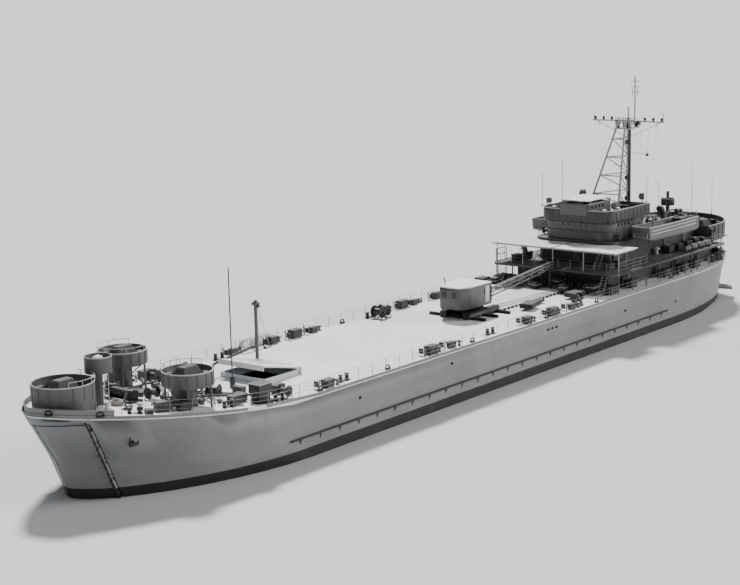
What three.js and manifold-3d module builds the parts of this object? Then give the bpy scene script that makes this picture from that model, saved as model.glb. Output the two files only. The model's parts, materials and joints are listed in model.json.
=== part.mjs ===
// Flat-bottomed tank landing ship with bow doors and a ramp, at one tenth of its full size.
// Millimetres. +X points to the bow, +Y to port and +Z up. The flat bottom is the plane z = 0,
// and the origin lies under the middle of the hull.
import * as THREE from 'three';
import { mergeVertices } from 'three/addons/utils/BufferGeometryUtils.js';
import Module from 'manifold-3d';

const wasm = await Module();
wasm.setup();

// Hull
const HALF_LENGTH = 5000;
const HALF_BEAM = 762;
const DECK_HEIGHT = 767;
const DECK_BOW_START = 3500;
const BODY_STEP = 400;
const SHEER_START = DECK_BOW_START - BODY_STEP;
const SHEER_SLOPE = 0.113;
const DECK_PLATE = 30;
const BOW_STEPS = 12;
const STERN_STEPS = 8;

// Clearances
const SEAT_GAP = 0.3;
const DOOR_GAP = 8;
const DOOR_SILL_GAP = 30;
const RUNNING_GAP = 6;
const WELD = 0.001;

// Spaces inside the hull
const TANK_DECK = { aft: -3100, forward: 3860, half: 457, floor: 345 };
const PASSAGE = { half: 245, sillX: 3885, sillZ: 284, lipX: 4760, lipZ: 129, topAft: 805, topForward: 882 };
const ENGINE_ROOM = { aft: -2800, forward: -2000, half: 600, floor: 60, top: 310 };
const ENGINE_TRUNK = { aft: -2600, forward: -2300, inner: 492, outer: 600 };
const ENGINE = { length: 450, width: 150, height: 210, x: -2475, y: 260 };

// Bow doors: the plane of their after edge leans forward as it rises
const DOOR_PLANE_X = 4324;
const DOOR_PLANE_SLOPE = 0.46;
const DOOR_BOTTOM = 150;
const DOOR_TOP = 890;
const DOOR_THICKNESS = 40;
const DOOR_STEM_THICKNESS = 60;
const HINGE_LOW = { y: 279, z: 190 };
const HINGE_HIGH = { y: 300.4, z: 862 };
const KNUCKLE = { radius: 14, groove: 22, span: 0.116, count: 5, lug: 10, lugForward: 36, lugInward: 44 };
const HULL_KNUCKLE = { radius: 7, web: 6, webLength: 30 };
const GROOVE_OVERRUN = 0.05;

// Bow ramp, hinged at the sill of the tank deck
const RAMP = { x: 3900, z: 310, length: 730, half: 215, thickness: 26, restDeg: 46, ribs: 5 };

// Side shelves for pontoons
const SHELF = { aft: -2760, forward: 3150, low: 452, high: 462, width: 22 };

// Running gear
const SHAFT = { y: 260, z: 135, forward: -3420, aft: -4215, radius: 14 };
const STRUT = { x: -4187, bearing: 28, leg: 10, spread: 90, top: 330 };
const PROPELLER = { radius: 106, hub: 24, hubLength: 56, blades: 3 };
const BLADE = { chord: 74, thickness: 6, root: 17, pitchDeg: 32 };
const PROPELLER_X = SHAFT.aft - SEAT_GAP - PROPELLER.hubLength / 2;
const RUDDER = { x: -4460, length: 200, thickness: 26, low: 45, high: 245, stockAft: 50 };
const STOCK = { radius: 11, top: 286 };
const RUDDER_BEARING = { radius: 30, depth: 60 };
const GUARD = { forward: -4330, middle: -4525, knee: -4670, aft: -4720, half: 640, kneeHalf: 560 };
const GUARD_LEVELS = [380, 400];

// Anchors in the bows
const ANCHOR = { x: 4455, y: 470, shank: 12, shankZ: [770, 750], shankInward: 160 };
const ANCHOR_ARM = { half: 34, z: [690, 742], inward: 150 };

// Tubs
const TUB_WALL = 8;
const BOW_TUB = { x: 4680, y: 0, radius: 225, floor: 1035, rim: 1140 };
const PORT_TUB = { x: 3900, y: 455, radius: 190, floor: 1035, rim: 1130 };
const STARBOARD_TUB = { x: 3690, y: -455, radius: 190, floor: 1035, rim: 1130 };
const DIRECTOR = { x: 4370, y: 30, radius: 100, floor: 1165, rim: 1270, post: 26 };
const TUB_PLATE = 12;
const TUB_LEG = { reach: 0.62, radius: 9, brace: 5, braceRise: 60, bury: 50 };
const STERN_PLATFORM = {
  forward: -4000, centre: -4200, aft: -4900, half: 600, skirt: 979.6, floor: 1045, rim: 1160,
};
const COVERED_MOUNT = { length: 230, width: 150, height: 120, topLength: 0.55, topWidth: 0.45 };
const MOUNTS = [
  { name: 'bow', x: BOW_TUB.x, y: BOW_TUB.y, floor: BOW_TUB.floor },
  { name: 'port', x: PORT_TUB.x, y: PORT_TUB.y, floor: PORT_TUB.floor },
  { name: 'starboard', x: STARBOARD_TUB.x, y: STARBOARD_TUB.y, floor: STARBOARD_TUB.floor },
  { name: 'stern_port', x: -4400, y: 320, floor: STERN_PLATFORM.floor },
  { name: 'stern_starboard', x: -4400, y: -320, floor: STERN_PLATFORM.floor },
];

// Forward deck gear
const KINGPOST = { x: 2365, y: -272, radius: 15, top: 1310, step: 40, head: 24, headZ: [1270, 1294] };
const WHIP = { x: 3050, y: 90, radius: 5, base: 22, baseTop: 850, top: 1720 };
const VENTILATOR = { x: [3310, 3430], y: [632, 722], height: 95, hood: 10, lift: 65, lap: 8 };
const FORWARD_HATCH = { x: [2430, 2830], half: 225, wall: 14, height: 40 };
const HATCH_COVER = { openDeg: 12, thickness: 12, lap: 20, skirt: 30 };
const HATCH_PIN = { radius: 8, reach: 12, lug: 10, lugFoot: 33 };
const CARGO_HATCH = { x: [-1660, -560], half: 195, height: 22 };
const WINDLASS = { x: 4120, y: 0, half: 130 };
const STERN_WINCH = { x: -4790, y: 0, half: 150 };
const WINCH = { length: 150, bed: 20, drum: 34, drumZ: 58, inset: 20 };
const WINCH_CHEEK = { inset: 30, thickness: 10, half: 46, top: 84 };

// Deck crane, about its slewing centre
const CRANE = { x: -280, y: 20 };
const CRANE_BASE = {
  skidLength: 500, skidWidth: 70, skidHeight: 60, skidY: 130, beam: 26, beamX: [-200, 0, 200],
  beamLength: 640, bridge: 125, bridgeLow: 13, ring: 130, top: 100,
};
const CRANE_HOUSE = {
  floor: CRANE_BASE.top + SEAT_GAP, plate: 14, roof: 303, rear: 330, taper: 220, front: -120, rearHalf: 105,
  half: 165, wall: 8,
};
const CRANE_WINDOW = { drop: [100, 40], rear: [28, 80], front: [30, 140], side: [-80, 0] };
const BOOM = {
  x: -150, z: 132, length: 1305, half: 42, depth: 42, foot: 0.35, footRun: 6, shoulder: 0.8, tip: 0.45,
  chord: 6, lacing: 4.2, diagonal: 3.6, stations: [0, 0.11, 0.8, 1], bays: 7, slopeDeg: 5.5, pin: 14,
  sheave: 20,
};
const BOOM_CHEEK = { inner: 56, outer: 68, aft: 20, rise: 20 };
const CRUTCH = { x: -1690, radius: 16, head: 60, thickness: 14, length: 14 };

// Superstructure levels
const LOWER_HOUSE = { aft: -4100, forward: -1950, half: 540, top: 957 };
const BOAT_DECK = { aft: -4105, forward: -1750, half: 740, corner: 90, thickness: 22 };
const DECK_POST = { radius: 7, count: 9, aft: -4065, pitch: 276.9, inset: 21 };
const MIDDLE_HOUSE = { aft: -3980, forward: -2230, half: 440, top: 1197 };
const BRIDGE_DECK = { aft: -3990, forward: -2150, half: 485, thickness: 18, corner: 120 };
const WHEELHOUSE = { aft: -2900, forward: -2200, half: 400, corner: 150, top: 1407, wall: 12 };
const WINDOW = { low: 1352, high: 1384, width: 34, pitch: 70, count: 5, sideCount: 4, reach: 50 };
const DOORWAY = { half: 40, sill: 20, head: 1397 };
const FLYING_BRIDGE = {
  aft: -3000, forward: -2170, half: 425, corner: 150, thickness: 18, bulwark: 100, gate: 60,
};
const CONN = {
  aft: -2640, forward: -2186, half: 160, corner: 50, top: 1582, windowLow: 1534, windowHigh: 1562, windows: 3,
  sideWindows: 4, gate: 60, sill: 10,
};
const CANOPY = { aft: -2645, forward: -2180, half: 172, low: 1606, high: 1622, post: 6 };
const AFT_HOUSE = {
  forward: BOAT_DECK.aft - SEAT_GAP, centre: -4250, aft: -4700, half: 470,
  top: STERN_PLATFORM.floor - TUB_WALL - SEAT_GAP,
};

// Awnings before the bridge
const AWNING = { aft: -2190, forward: -1745, half: 740, slit: 12, z: 1182, thickness: 8 };
const AWNING_POST = { radius: 6, inset: 20, lean: 70 };

// Mast
const MAST = { x: -3280, radius: 18, top: 2350, brace: 6, levels: 5, spindle: 9, spindleTop: 2495 };
const PLATFORM = { aft: -3370, forward: -3136, half: 90, low: 2270, high: 2282 };
const MAST_LEG = { x: -2750, y: 183, topX: -3150, topY: 40, top: 2355, radius: 11, overrun: 0.02 };
const YARD = { z: 2345, half: 430, radius: 8 };
const TOPMAST = { x: -3420, low: 2295, bracket: 2305, top: 2815, radius: 8 };
const AFT_DIRECTOR = { x: -3900, y: 150, post: 22, head: 18, floor: 1390, rim: 1450, radius: 75, top: 1530 };

// Landing boats and their davits
const BOAT = {
  x: -3020, y: 600, keel: 1190, length: 1080, half: 105, depth: 155, wall: 10, transom: 36, floor: 36,
};
const BOAT_FORM = { sternLift: 30, quarter: 60, stemRake: 40, stemFoot: 20, forefoot: 160, sheer: 10 };
const CHINE = { radius: 34, z: -14 };
const BOAT_ENGINE = { aft: 140, forward: 300, half: 45, height: 70 };
const DAVIT = { foot: [455, 1240], knee: [455, 1370], shoulder: [495, 1420], head: [600, 1432] };
const DAVIT_ARM = { radius: 10, spread: 275, lug: 20, sides: 16 };
const DAVIT_BEARING = { length: 12, half: 14 };
const SLING = { radius: 6, gap: 0.8 };

// Limits well outside the ship for the tools that cut it, and how far a joined piece runs into its neighbour
const FORE_DECK_LIMIT = 6000;
const EDGE = 1000;
const BITE = 4;

// Hull outlines from the bottom up: height, where the bow starts to curve and where its stem is,
// the bow curve's two powers, the half beam, where the stern starts to curve and ends, and the
// half width left at its end. The half beam is the hull's own where none is given, and the top outline
// has no height of its own, because it follows the deck.
const HULL_LEVELS = [
  { z: 0, bow: 2400, stem: 4150, powers: [1.8, 1.6], half: 715, stern: -2700, end: -3100, endHalf: 560 },
  { z: 40, bow: 2500, stem: 4430, powers: [1.8, 1.6], stern: -2750, end: -3250, endHalf: 560 },
  { z: 150, bow: 2700, stem: 4630, powers: [1.7, 1.6], stern: -2800, end: -3650, endHalf: 520 },
  { z: 265, bow: 2900, stem: 4660, powers: [1.7, 1.6], stern: -2900, end: -4150, endHalf: 430 },
  { z: 310, bow: 3000, stem: 4670, powers: [1.7, 1.6], stern: -2950, end: -4600, endHalf: 300 },
  { z: 360, bow: 3080, stem: 4690, powers: [1.7, 1.6], stern: -3000, end: -4940, endHalf: 0 },
  { z: 600, bow: 3300, stem: 4790, powers: [1.7, 1.6], stern: -3200, end: -4970, endHalf: 0 },
  { bow: DECK_BOW_START, stem: HALF_LENGTH, powers: [1.8, 1.5], stern: -3400, end: -HALF_LENGTH, endHalf: 0 },
].map((level) => ({ half: HALF_BEAM, ...level }));
const STERN_POWERS = [2, 2];

// Finishes
const HULL_GREY = finish(0x8d9296, 0.6);
const DECK_GREY = finish(0xd9d8d2, 0.8);
const HOUSE_GREY = finish(0x6f7478, 0.6);
const DARK_GREY = finish(0x3c3f42, 0.6);
const BLACK = finish(0x1d1e20, 0.7);
const BRONZE = finish(0x9a7b45, 0.4, 0.9);
const CANVAS_WHITE = finish(0xeceae2, 0.9);
const CANVAS_GREY = finish(0x7a7b76, 0.9);

/** Makes a painted finish from its colour, roughness and metalness. */
function finish(color, roughness, metalness = 0) {
  return new THREE.MeshStandardMaterial({ color, roughness, metalness });
}

/** Turns a closed geometry into a solid that can be joined and cut. */
function solid(geometry) {
  geometry.deleteAttribute('normal');
  geometry.deleteAttribute('uv');
  const merged = mergeVertices(geometry, WELD);
  return new wasm.Manifold(new wasm.Mesh({
    numProp: 3,
    vertProperties: Float32Array.from(merged.attributes.position.array),
    triVerts: Uint32Array.from(merged.index.array),
  }));
}

/** Turns a solid back into a geometry. */
function geometryOf(body) {
  const mesh = body.getMesh();
  const geometry = new THREE.BufferGeometry();
  geometry.setAttribute('position', new THREE.BufferAttribute(Float32Array.from(mesh.vertProperties), 3));
  geometry.setIndex(new THREE.BufferAttribute(Uint32Array.from(mesh.triVerts), 1));
  return geometry;
}

/** Joins solids into one. */
function join(bodies) {
  return bodies.reduce((whole, body) => whole.add(body));
}

/** Cuts solids out of one. */
function cut(body, tools) {
  return tools.reduce((rest, tool) => rest.subtract(tool), body);
}

/** A block between two limits on each axis. */
function block(x, y, z) {
  const geometry = new THREE.BoxGeometry(x[1] - x[0], y[1] - y[0], z[1] - z[0]);
  geometry.translate((x[0] + x[1]) / 2, (y[0] + y[1]) / 2, (z[0] + z[1]) / 2);
  return solid(geometry);
}

/** A round bar between two points. */
function rod(from, to, radius, sides = 8) {
  const start = new THREE.Vector3(...from);
  const run = new THREE.Vector3(...to).sub(start);
  const geometry = new THREE.CylinderGeometry(radius, radius, run.length(), sides);
  geometry.applyQuaternion(new THREE.Quaternion().setFromUnitVectors(
    new THREE.Vector3(0, 1, 0), run.clone().normalize()));
  const middle = start.addScaledVector(run, 0.5);
  geometry.translate(middle.x, middle.y, middle.z);
  return solid(geometry);
}

/** A flat outline raised from one height to another. */
function raised(shape, low, high, curveSegments = 4) {
  const settings = { depth: high - low, bevelEnabled: false, curveSegments };
  const geometry = new THREE.ExtrudeGeometry(shape, settings);
  geometry.translate(0, 0, low);
  return solid(geometry);
}

/** An outline of [x, z] points drawn out sideways between two limits of y. */
function profile(points, y) {
  const shape = new THREE.Shape(points.map(([x, z]) => new THREE.Vector2(x, z)));
  const geometry = new THREE.ExtrudeGeometry(shape, { depth: y[1] - y[0], bevelEnabled: false });
  geometry.rotateX(Math.PI / 2);
  geometry.translate(0, y[1], 0);
  return solid(geometry);
}

/** A round open cup that stands on a flat base. */
function cup({ x, y, radius, floor, rim }, base, sides = 24) {
  const inner = radius - TUB_WALL;
  const points = [[0, base], [radius, base], [radius, rim], [inner, rim], [inner, floor], [0, floor]];
  const geometry = new THREE.LatheGeometry(points.map(([r, z]) => new THREE.Vector2(r, z)), sides);
  geometry.rotateX(Math.PI / 2);
  geometry.translate(x, y, 0);
  return solid(geometry);
}

/** A house outline with rounded forward corners, forward being +X. */
function houseShape(aft, forward, half, corner) {
  const shape = new THREE.Shape();
  shape.moveTo(aft, -half);
  shape.lineTo(forward - corner, -half);
  shape.absarc(forward - corner, corner - half, corner, -Math.PI / 2, 0, false);
  shape.absarc(forward - corner, half - corner, corner, 0, Math.PI / 2, false);
  shape.lineTo(aft, half);
  shape.closePath();
  return shape;
}

/** An outline with straight sides forward and a half ellipse aft. */
function sternShape(forward, centre, aft, half) {
  const shape = new THREE.Shape();
  shape.moveTo(forward, half);
  shape.lineTo(centre, half);
  shape.absellipse(centre, 0, centre - aft, half, Math.PI / 2, Math.PI * 1.5, false);
  shape.lineTo(forward, -half);
  shape.closePath();
  return shape;
}

/** Height of the main deck's upper face. */
function deckAt(x) {
  return DECK_HEIGHT + Math.max(0, x - SHEER_START) * SHEER_SLOPE;
}

/** Falls from 1 to 0 as s goes from 0 to 1. */
function roundOff(s, [p, q]) {
  return Math.max(0, 1 - s ** p) ** (1 / q);
}

/** The port half of one hull outline, from the stern to the stem. */
function outline(level, inset, stemInset) {
  const points = [];
  for (let step = STERN_STEPS; step > 0; step -= 1) {
    const s = Math.sin((step / STERN_STEPS) * Math.PI / 2);
    const width = level.endHalf + (level.half - level.endHalf) * roundOff(s, STERN_POWERS);
    points.push([level.stern + (level.end - level.stern) * s, width]);
  }
  points.push([level.stern, level.half - inset]);
  points.push([level.bow - BODY_STEP, level.half - inset]);
  for (let step = 0; step <= BOW_STEPS; step += 1) {
    const s = Math.sin((step / BOW_STEPS) * Math.PI / 2);
    const run = level.stem - stemInset - level.bow;
    points.push([level.bow + run * s, (level.half - inset) * roundOff(s, level.powers)]);
  }
  return points;
}

/** Closes a stack of port half outlines, and their mirror images, into one solid. */
function loft(rows) {
  const positions = [];
  const triangle = (...corners) => {
    const keys = new Set(corners.map((corner) => corner.map((value) => value.toFixed(3)).join()));
    if (keys.size === 3) corners.forEach((corner) => positions.push(...corner));
  };
  const quad = (a, b, c, d) => {
    triangle(a, b, c);
    triangle(a, c, d);
  };
  const mirror = ([x, y, z]) => [x, -y, z];
  const last = rows.length - 1;
  const end = rows[0].length - 1;
  for (let row = 0; row < last; row += 1) {
    for (let step = 0; step < end; step += 1) {
      const corners = [rows[row][step], rows[row + 1][step], rows[row + 1][step + 1], rows[row][step + 1]];
      quad(...corners);
      quad(...corners.map(mirror).reverse());
    }
    quad(mirror(rows[row][0]), mirror(rows[row + 1][0]), rows[row + 1][0], rows[row][0]);
    quad(rows[row][end], rows[row + 1][end], mirror(rows[row + 1][end]), mirror(rows[row][end]));
  }
  for (let step = 0; step < end; step += 1) {
    quad(rows[last][step], mirror(rows[last][step]), mirror(rows[last][step + 1]), rows[last][step + 1]);
    quad(rows[0][step + 1], mirror(rows[0][step + 1]), mirror(rows[0][step]), rows[0][step]);
  }
  const geometry = new THREE.BufferGeometry();
  geometry.setAttribute('position', new THREE.BufferAttribute(new Float32Array(positions), 3));
  return solid(geometry);
}

/** The hull's outer form, or one that lies inside it. */
function hullForm(inset = 0, stemInset = 0) {
  return loft(HULL_LEVELS.map((level) => outline(level, inset, stemInset)
    .map(([x, y]) => [x, y, level.z ?? deckAt(x) - DECK_PLATE - SEAT_GAP])));
}

/** Everything above the sloping fore deck, grown or shrunk by a gap. */
function aboveDeck(body, gap = SEAT_GAP) {
  const below = profile([
    [SHEER_START, -EDGE], [FORE_DECK_LIMIT, -EDGE],
    [FORE_DECK_LIMIT, deckAt(FORE_DECK_LIMIT) + gap], [SHEER_START, DECK_HEIGHT + gap],
  ], [-EDGE, EDGE]);
  return body.subtract(below);
}

/** The part of a piece outside the hull, with a gap to its skin in the way that it is moved. */
function outsideHull(body, move) {
  const shell = hullForm();
  return body.subtract(shell).subtract(shell.translate(...move));
}

/** Everything forward of the doors' after plane, between two heights, moved forward by a gap. */
function doorRegion(low, high, gap, y) {
  const planeX = (z) => DOOR_PLANE_X + DOOR_PLANE_SLOPE * z + gap;
  const limit = FORE_DECK_LIMIT;
  return profile([[planeX(low), low], [limit, low], [limit, high], [planeX(high), high]], y);
}

/** A point of a bow door's hinge line, at a fraction of its height. */
function hingePoint(fraction, side) {
  const z = HINGE_LOW.z + (HINGE_HIGH.z - HINGE_LOW.z) * fraction;
  const y = HINGE_LOW.y + (HINGE_HIGH.y - HINGE_LOW.y) * fraction;
  return [DOOR_PLANE_X + DOOR_PLANE_SLOPE * z, side * y, z];
}

/** The hull's half of a bow door's hinge: knuckles between the door's own, on webs from the hull. */
function hullKnuckles(side) {
  const pieces = [];
  const half = (1 / KNUCKLE.count - KNUCKLE.span) / 2 - SEAT_GAP / (HINGE_HIGH.z - HINGE_LOW.z);
  for (let index = 1; index < KNUCKLE.count; index += 1) {
    const middle = index / KNUCKLE.count;
    const [x, y, z] = hingePoint(middle, side);
    pieces.push(rod(hingePoint(middle - half, side), hingePoint(middle + half, side), HULL_KNUCKLE.radius));
    pieces.push(rod([x, y, z], [x - HULL_KNUCKLE.webLength, y, z], HULL_KNUCKLE.web));
  }
  return pieces;
}

/** The hull below its deck plate, with its tank deck, ramp passage and engine room. */
function hull() {
  const passage = profile([
    [TANK_DECK.forward - WELD, PASSAGE.sillZ], [PASSAGE.sillX, PASSAGE.sillZ], [PASSAGE.lipX, PASSAGE.lipZ],
    [PASSAGE.lipX, PASSAGE.topForward], [TANK_DECK.forward - WELD, PASSAGE.topAft],
  ], [-PASSAGE.half, PASSAGE.half]);
  const trunkY = [ENGINE_TRUNK.inner, ENGINE_TRUNK.outer];
  const tools = [
    block([TANK_DECK.aft, TANK_DECK.forward], [-TANK_DECK.half, TANK_DECK.half], [TANK_DECK.floor, EDGE]),
    passage,
    doorRegion(DOOR_BOTTOM, DOOR_TOP, 0, [-EDGE, EDGE]),
    block([ENGINE_ROOM.aft, ENGINE_ROOM.forward], [-ENGINE_ROOM.half, ENGINE_ROOM.half],
      [ENGINE_ROOM.floor, ENGINE_ROOM.top]),
    block([ENGINE_TRUNK.aft, ENGINE_TRUNK.forward], trunkY, [ENGINE_ROOM.floor, EDGE]),
  ];
  for (const side of [1, -1]) {
    const ends = [-GROOVE_OVERRUN, 1 + GROOVE_OVERRUN].map((fraction) => hingePoint(fraction, side));
    tools.push(rod(...ends, KNUCKLE.groove, 12));
  }
  const bearings = [1, -1].map((side) => rod([RUDDER.x, side * SHAFT.y, STOCK.top + SEAT_GAP],
    [RUDDER.x, side * SHAFT.y, STOCK.top + RUDDER_BEARING.depth], RUDDER_BEARING.radius));
  return join([cut(join([hullForm(), ...bearings]), tools), ...hullKnuckles(1), ...hullKnuckles(-1)]);
}

/** The main deck plate, with the forward hatch cut in it. */
function mainDeck() {
  const edge = outline(HULL_LEVELS[HULL_LEVELS.length - 1], 0, 0);
  const faces = [DECK_PLATE, 0].map((drop) => edge.map(([x, y]) => [x, y, deckAt(x) - drop]));
  const hatch = FORWARD_HATCH;
  return loft(faces).subtract(block(hatch.x, [-hatch.half, hatch.half], [0, EDGE]));
}

/** One bow door, a curved shell with hinge knuckles along its after edge. */
function bowDoor(side) {
  const y = side > 0 ? [DOOR_GAP / 2, EDGE] : [-EDGE, -DOOR_GAP / 2];
  const shell = hullForm().subtract(hullForm(DOOR_THICKNESS, DOOR_STEM_THICKNESS));
  const leaf = shell.intersect(doorRegion(DOOR_BOTTOM + DOOR_SILL_GAP, DOOR_TOP - DOOR_GAP, DOOR_GAP, y));
  const half = KNUCKLE.span / 2;
  const knuckles = [];
  for (let index = 0; index < KNUCKLE.count; index += 1) {
    const middle = (index + 0.5) / KNUCKLE.count;
    const [x, yAxis, z] = hingePoint(middle, side);
    knuckles.push(rod(hingePoint(middle - half, side), hingePoint(middle + half, side), KNUCKLE.radius));
    const lugEnd = [x + KNUCKLE.lugForward, yAxis - side * KNUCKLE.lugInward, z];
    knuckles.push(rod([x, yAxis, z], lugEnd, KNUCKLE.lug));
  }
  return join([leaf, ...knuckles]);
}

/** The bow ramp in its own frame: hinge at the origin, plate along +X, with ribs below it. */
function bowRamp() {
  const half = RAMP.thickness / 2;
  const pinHalf = PASSAGE.half - SEAT_GAP;
  const pieces = [
    block([0, RAMP.length], [-RAMP.half, RAMP.half], [0, half]),
    rod([0, -pinHalf, 0], [0, pinHalf, 0], half, 12),
  ];
  for (let rib = 0; rib < RAMP.ribs; rib += 1) {
    const y = -RAMP.half + half / 2 + rib * (2 * RAMP.half - half) / (RAMP.ribs - 1);
    pieces.push(block([0, RAMP.length], [y - half / 2, y + half / 2], [-half, half / 2]));
  }
  return join(pieces);
}

/** The narrow ledge along the hull's side. */
function pontoonShelf(side) {
  const { aft, forward, low, high, width } = SHELF;
  const across = [side * (HALF_BEAM + SEAT_GAP), side * (HALF_BEAM + width)].sort((a, b) => a - b);
  return block([aft, forward], across, [low, high]);
}

/** A main engine as one plain block, in its own frame. */
function engine() {
  const { length, width, height } = ENGINE;
  return block([-length / 2, length / 2], [-width / 2, width / 2], [0, height]);
}

/** A propeller shaft with the two-legged strut that carries it. */
function propellerShaft(side) {
  const y = side * SHAFT.y;
  const bearingEnds = [-1, 1].map((end) => [STRUT.x + end * STRUT.bearing / 2, y, SHAFT.z]);
  const bearing = rod(...bearingEnds, STRUT.bearing);
  const legs = [-1, 1].map((lean) => rod([STRUT.x, y, SHAFT.z], [STRUT.x, y + lean * STRUT.spread, STRUT.top],
    STRUT.leg));
  const line = rod([SHAFT.aft, y, SHAFT.z], [SHAFT.forward, y, SHAFT.z], SHAFT.radius);
  return outsideHull(join([line, bearing, ...legs]), [0, 0, -SEAT_GAP]);
}

/** A propeller with its hub, in its own frame, shaft along X. */
function propeller(hand) {
  const { radius, hub, hubLength, blades } = PROPELLER;
  const { chord, thickness, root, pitchDeg } = BLADE;
  const pieces = [rod([-hubLength / 2, 0, 0], [hubLength / 2, 0, 0], hub, 12)];
  for (let blade = 0; blade < blades; blade += 1) {
    const shape = new THREE.Shape();
    shape.absellipse(0, (radius + root) / 2, chord / 2, (radius - root) / 2, 0, Math.PI * 2);
    const settings = { depth: thickness, bevelEnabled: false, curveSegments: 5 };
    const geometry = new THREE.ExtrudeGeometry(shape, settings);
    geometry.translate(0, 0, -thickness / 2);
    geometry.rotateY(hand * THREE.MathUtils.degToRad(90 - pitchDeg));
    geometry.rotateX((blade / blades) * Math.PI * 2);
    pieces.push(solid(geometry));
  }
  return join(pieces);
}

/** A rudder with its stock, in its own frame, stock at the origin. */
function rudder() {
  const { length, thickness, low, high, stockAft } = RUDDER;
  const shape = new THREE.Shape();
  shape.absellipse(-length / 2 + stockAft, 0, length / 2, thickness / 2, 0, Math.PI * 2);
  return join([raised(shape, low, high), rod([0, 0, high - thickness], [0, 0, STOCK.top], STOCK.radius, 12)]);
}

/** The guard that stands out of the quarter over a propeller. */
function propellerGuard(side) {
  const { forward, middle, knee, aft, half, kneeHalf } = GUARD;
  const shape = new THREE.Shape();
  shape.moveTo(forward, 0);
  shape.lineTo(aft, 0);
  shape.lineTo(knee, side * kneeHalf);
  shape.lineTo(middle, side * half);
  shape.closePath();
  return outsideHull(raised(shape, ...GUARD_LEVELS), [0, side * SEAT_GAP, 0]);
}

/** A stockless anchor that lies against the bow, cut to the hull's curve. */
function bowAnchor(side) {
  const { x, y, shank, shankZ, shankInward } = ANCHOR;
  const across = [side * y, side * (y - ANCHOR_ARM.inward)].sort((a, b) => a - b);
  const pieces = [
    rod([x, side * (y - shankInward), shankZ[0]], [x, side * y, shankZ[1]], shank),
    block([x - ANCHOR_ARM.half, x + ANCHOR_ARM.half], across, ANCHOR_ARM.z),
  ];
  return outsideHull(join(pieces), [0, side * SEAT_GAP, 0]);
}

/** A tub raised above the fore deck on a skirt of the same width. */
function bowTub() {
  return aboveDeck(cup(BOW_TUB, DECK_HEIGHT, 32));
}

/** A tub on legs, with braces and a locker under it. */
function leggedTub(tub) {
  const pieces = [];
  const reach = tub.radius * TUB_LEG.reach;
  const quarters = [[1, 1], [1, -1], [-1, -1], [-1, 1]];
  const corners = quarters.map(([a, b]) => [tub.x + a * reach, tub.y + b * reach]);
  const under = tub.floor - TUB_PLATE;
  const foot = deckAt(tub.x) - TUB_LEG.bury;
  corners.forEach(([x, y], index) => {
    const next = corners[(index + 1) % corners.length];
    pieces.push(rod([x, y, foot], [x, y, under + BITE], TUB_LEG.radius));
    pieces.push(rod([x, y, foot + TUB_LEG.braceRise], [...next, under], TUB_LEG.brace, 6));
  });
  pieces.push(block([tub.x - reach / 2, tub.x + reach / 2], [tub.y - reach, tub.y + reach / 3],
    [foot, under + BITE]));
  return aboveDeck(join([cup(tub, under), ...pieces]));
}

/** The director's small tub on its post. */
function directorTub() {
  const { x, y, post, floor } = DIRECTOR;
  const under = floor - TUB_PLATE;
  const stand = rod([x, y, DECK_HEIGHT], [x, y, under + BITE], post, 12);
  return aboveDeck(join([cup(DIRECTOR, under, 16), stand]));
}

/** The wide platform at the stern, a walled tub on a skirt. */
function sternPlatform() {
  const { forward, centre, aft, half, skirt, floor, rim } = STERN_PLATFORM;
  const outer = raised(sternShape(forward, centre, aft, half), skirt, rim, 10);
  const inner = sternShape(forward - TUB_WALL, centre, aft + TUB_WALL, half - TUB_WALL);
  return cut(outer, [
    raised(inner, floor, rim + EDGE, 10),
    raised(inner, skirt - EDGE, floor - TUB_WALL, 10),
  ]);
}

/** A mount under its canvas cover, standing on a tub's floor. */
function coveredMount() {
  const { length, width, height, topLength, topWidth } = COVERED_MOUNT;
  const geometry = new THREE.BoxGeometry(length, width, height);
  const points = geometry.attributes.position;
  for (let index = 0; index < points.count; index += 1) {
    if (points.getZ(index) > 0) {
      points.setX(index, points.getX(index) * topLength);
      points.setY(index, points.getY(index) * topWidth);
    }
  }
  geometry.translate(0, 0, height / 2);
  return solid(geometry);
}

/** A windlass or winch on a bedplate, in its own frame. */
function winch({ half }) {
  const { length, bed, drum, drumZ, inset } = WINCH;
  const cheek = WINCH_CHEEK;
  const cheeks = [-half + cheek.inset, half - cheek.inset].map((y) => block([-cheek.half, cheek.half],
    [y - cheek.thickness, y + cheek.thickness], [bed - BITE, cheek.top]));
  return join([
    block([-length / 2, length / 2], [-half, half], [0, bed]),
    rod([0, -half + inset, drumZ], [0, half - inset, drumZ], drum, 12),
    ...cheeks,
  ]);
}

/** The kingpost with its step and its top fitting. */
function kingpost() {
  const { x, y, radius, top, step, head, headZ } = KINGPOST;
  return join([
    rod([x, y, DECK_HEIGHT + SEAT_GAP], [x, y, top], radius, 12),
    rod([x, y, DECK_HEIGHT + SEAT_GAP], [x, y, DECK_HEIGHT + step], radius * 2, 12),
    block([x - head, x + head], [y - head, y + head], headZ),
  ]);
}

/** The whip aerial on its insulated base. */
function whipAntenna() {
  const { x, y, radius, base, baseTop, top } = WHIP;
  return join([
    rod([x, y, DECK_HEIGHT + SEAT_GAP], [x, y, baseTop], base),
    rod([x, y, baseTop - BITE], [x, y, top], radius),
  ]);
}

/** The ventilator trunk at the port edge, with its overhanging hood. */
function ventilatorHouse() {
  const { x, y, height, hood, lift, lap } = VENTILATOR;
  const top = deckAt(x[0]) + height;
  return aboveDeck(join([
    block(x, y, [DECK_HEIGHT, top]),
    block([x[0] - hood, x[1] + hood], [y[0] - hood, y[1] + hood], [top - lap, top + lift]),
  ]));
}

/** The place of the forward hatch cover's frame: the lower after edge of its lid. */
function coverOrigin() {
  return [FORWARD_HATCH.x[0] - FORWARD_HATCH.wall, 0, DECK_HEIGHT + FORWARD_HATCH.height + RUNNING_GAP];
}

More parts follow.
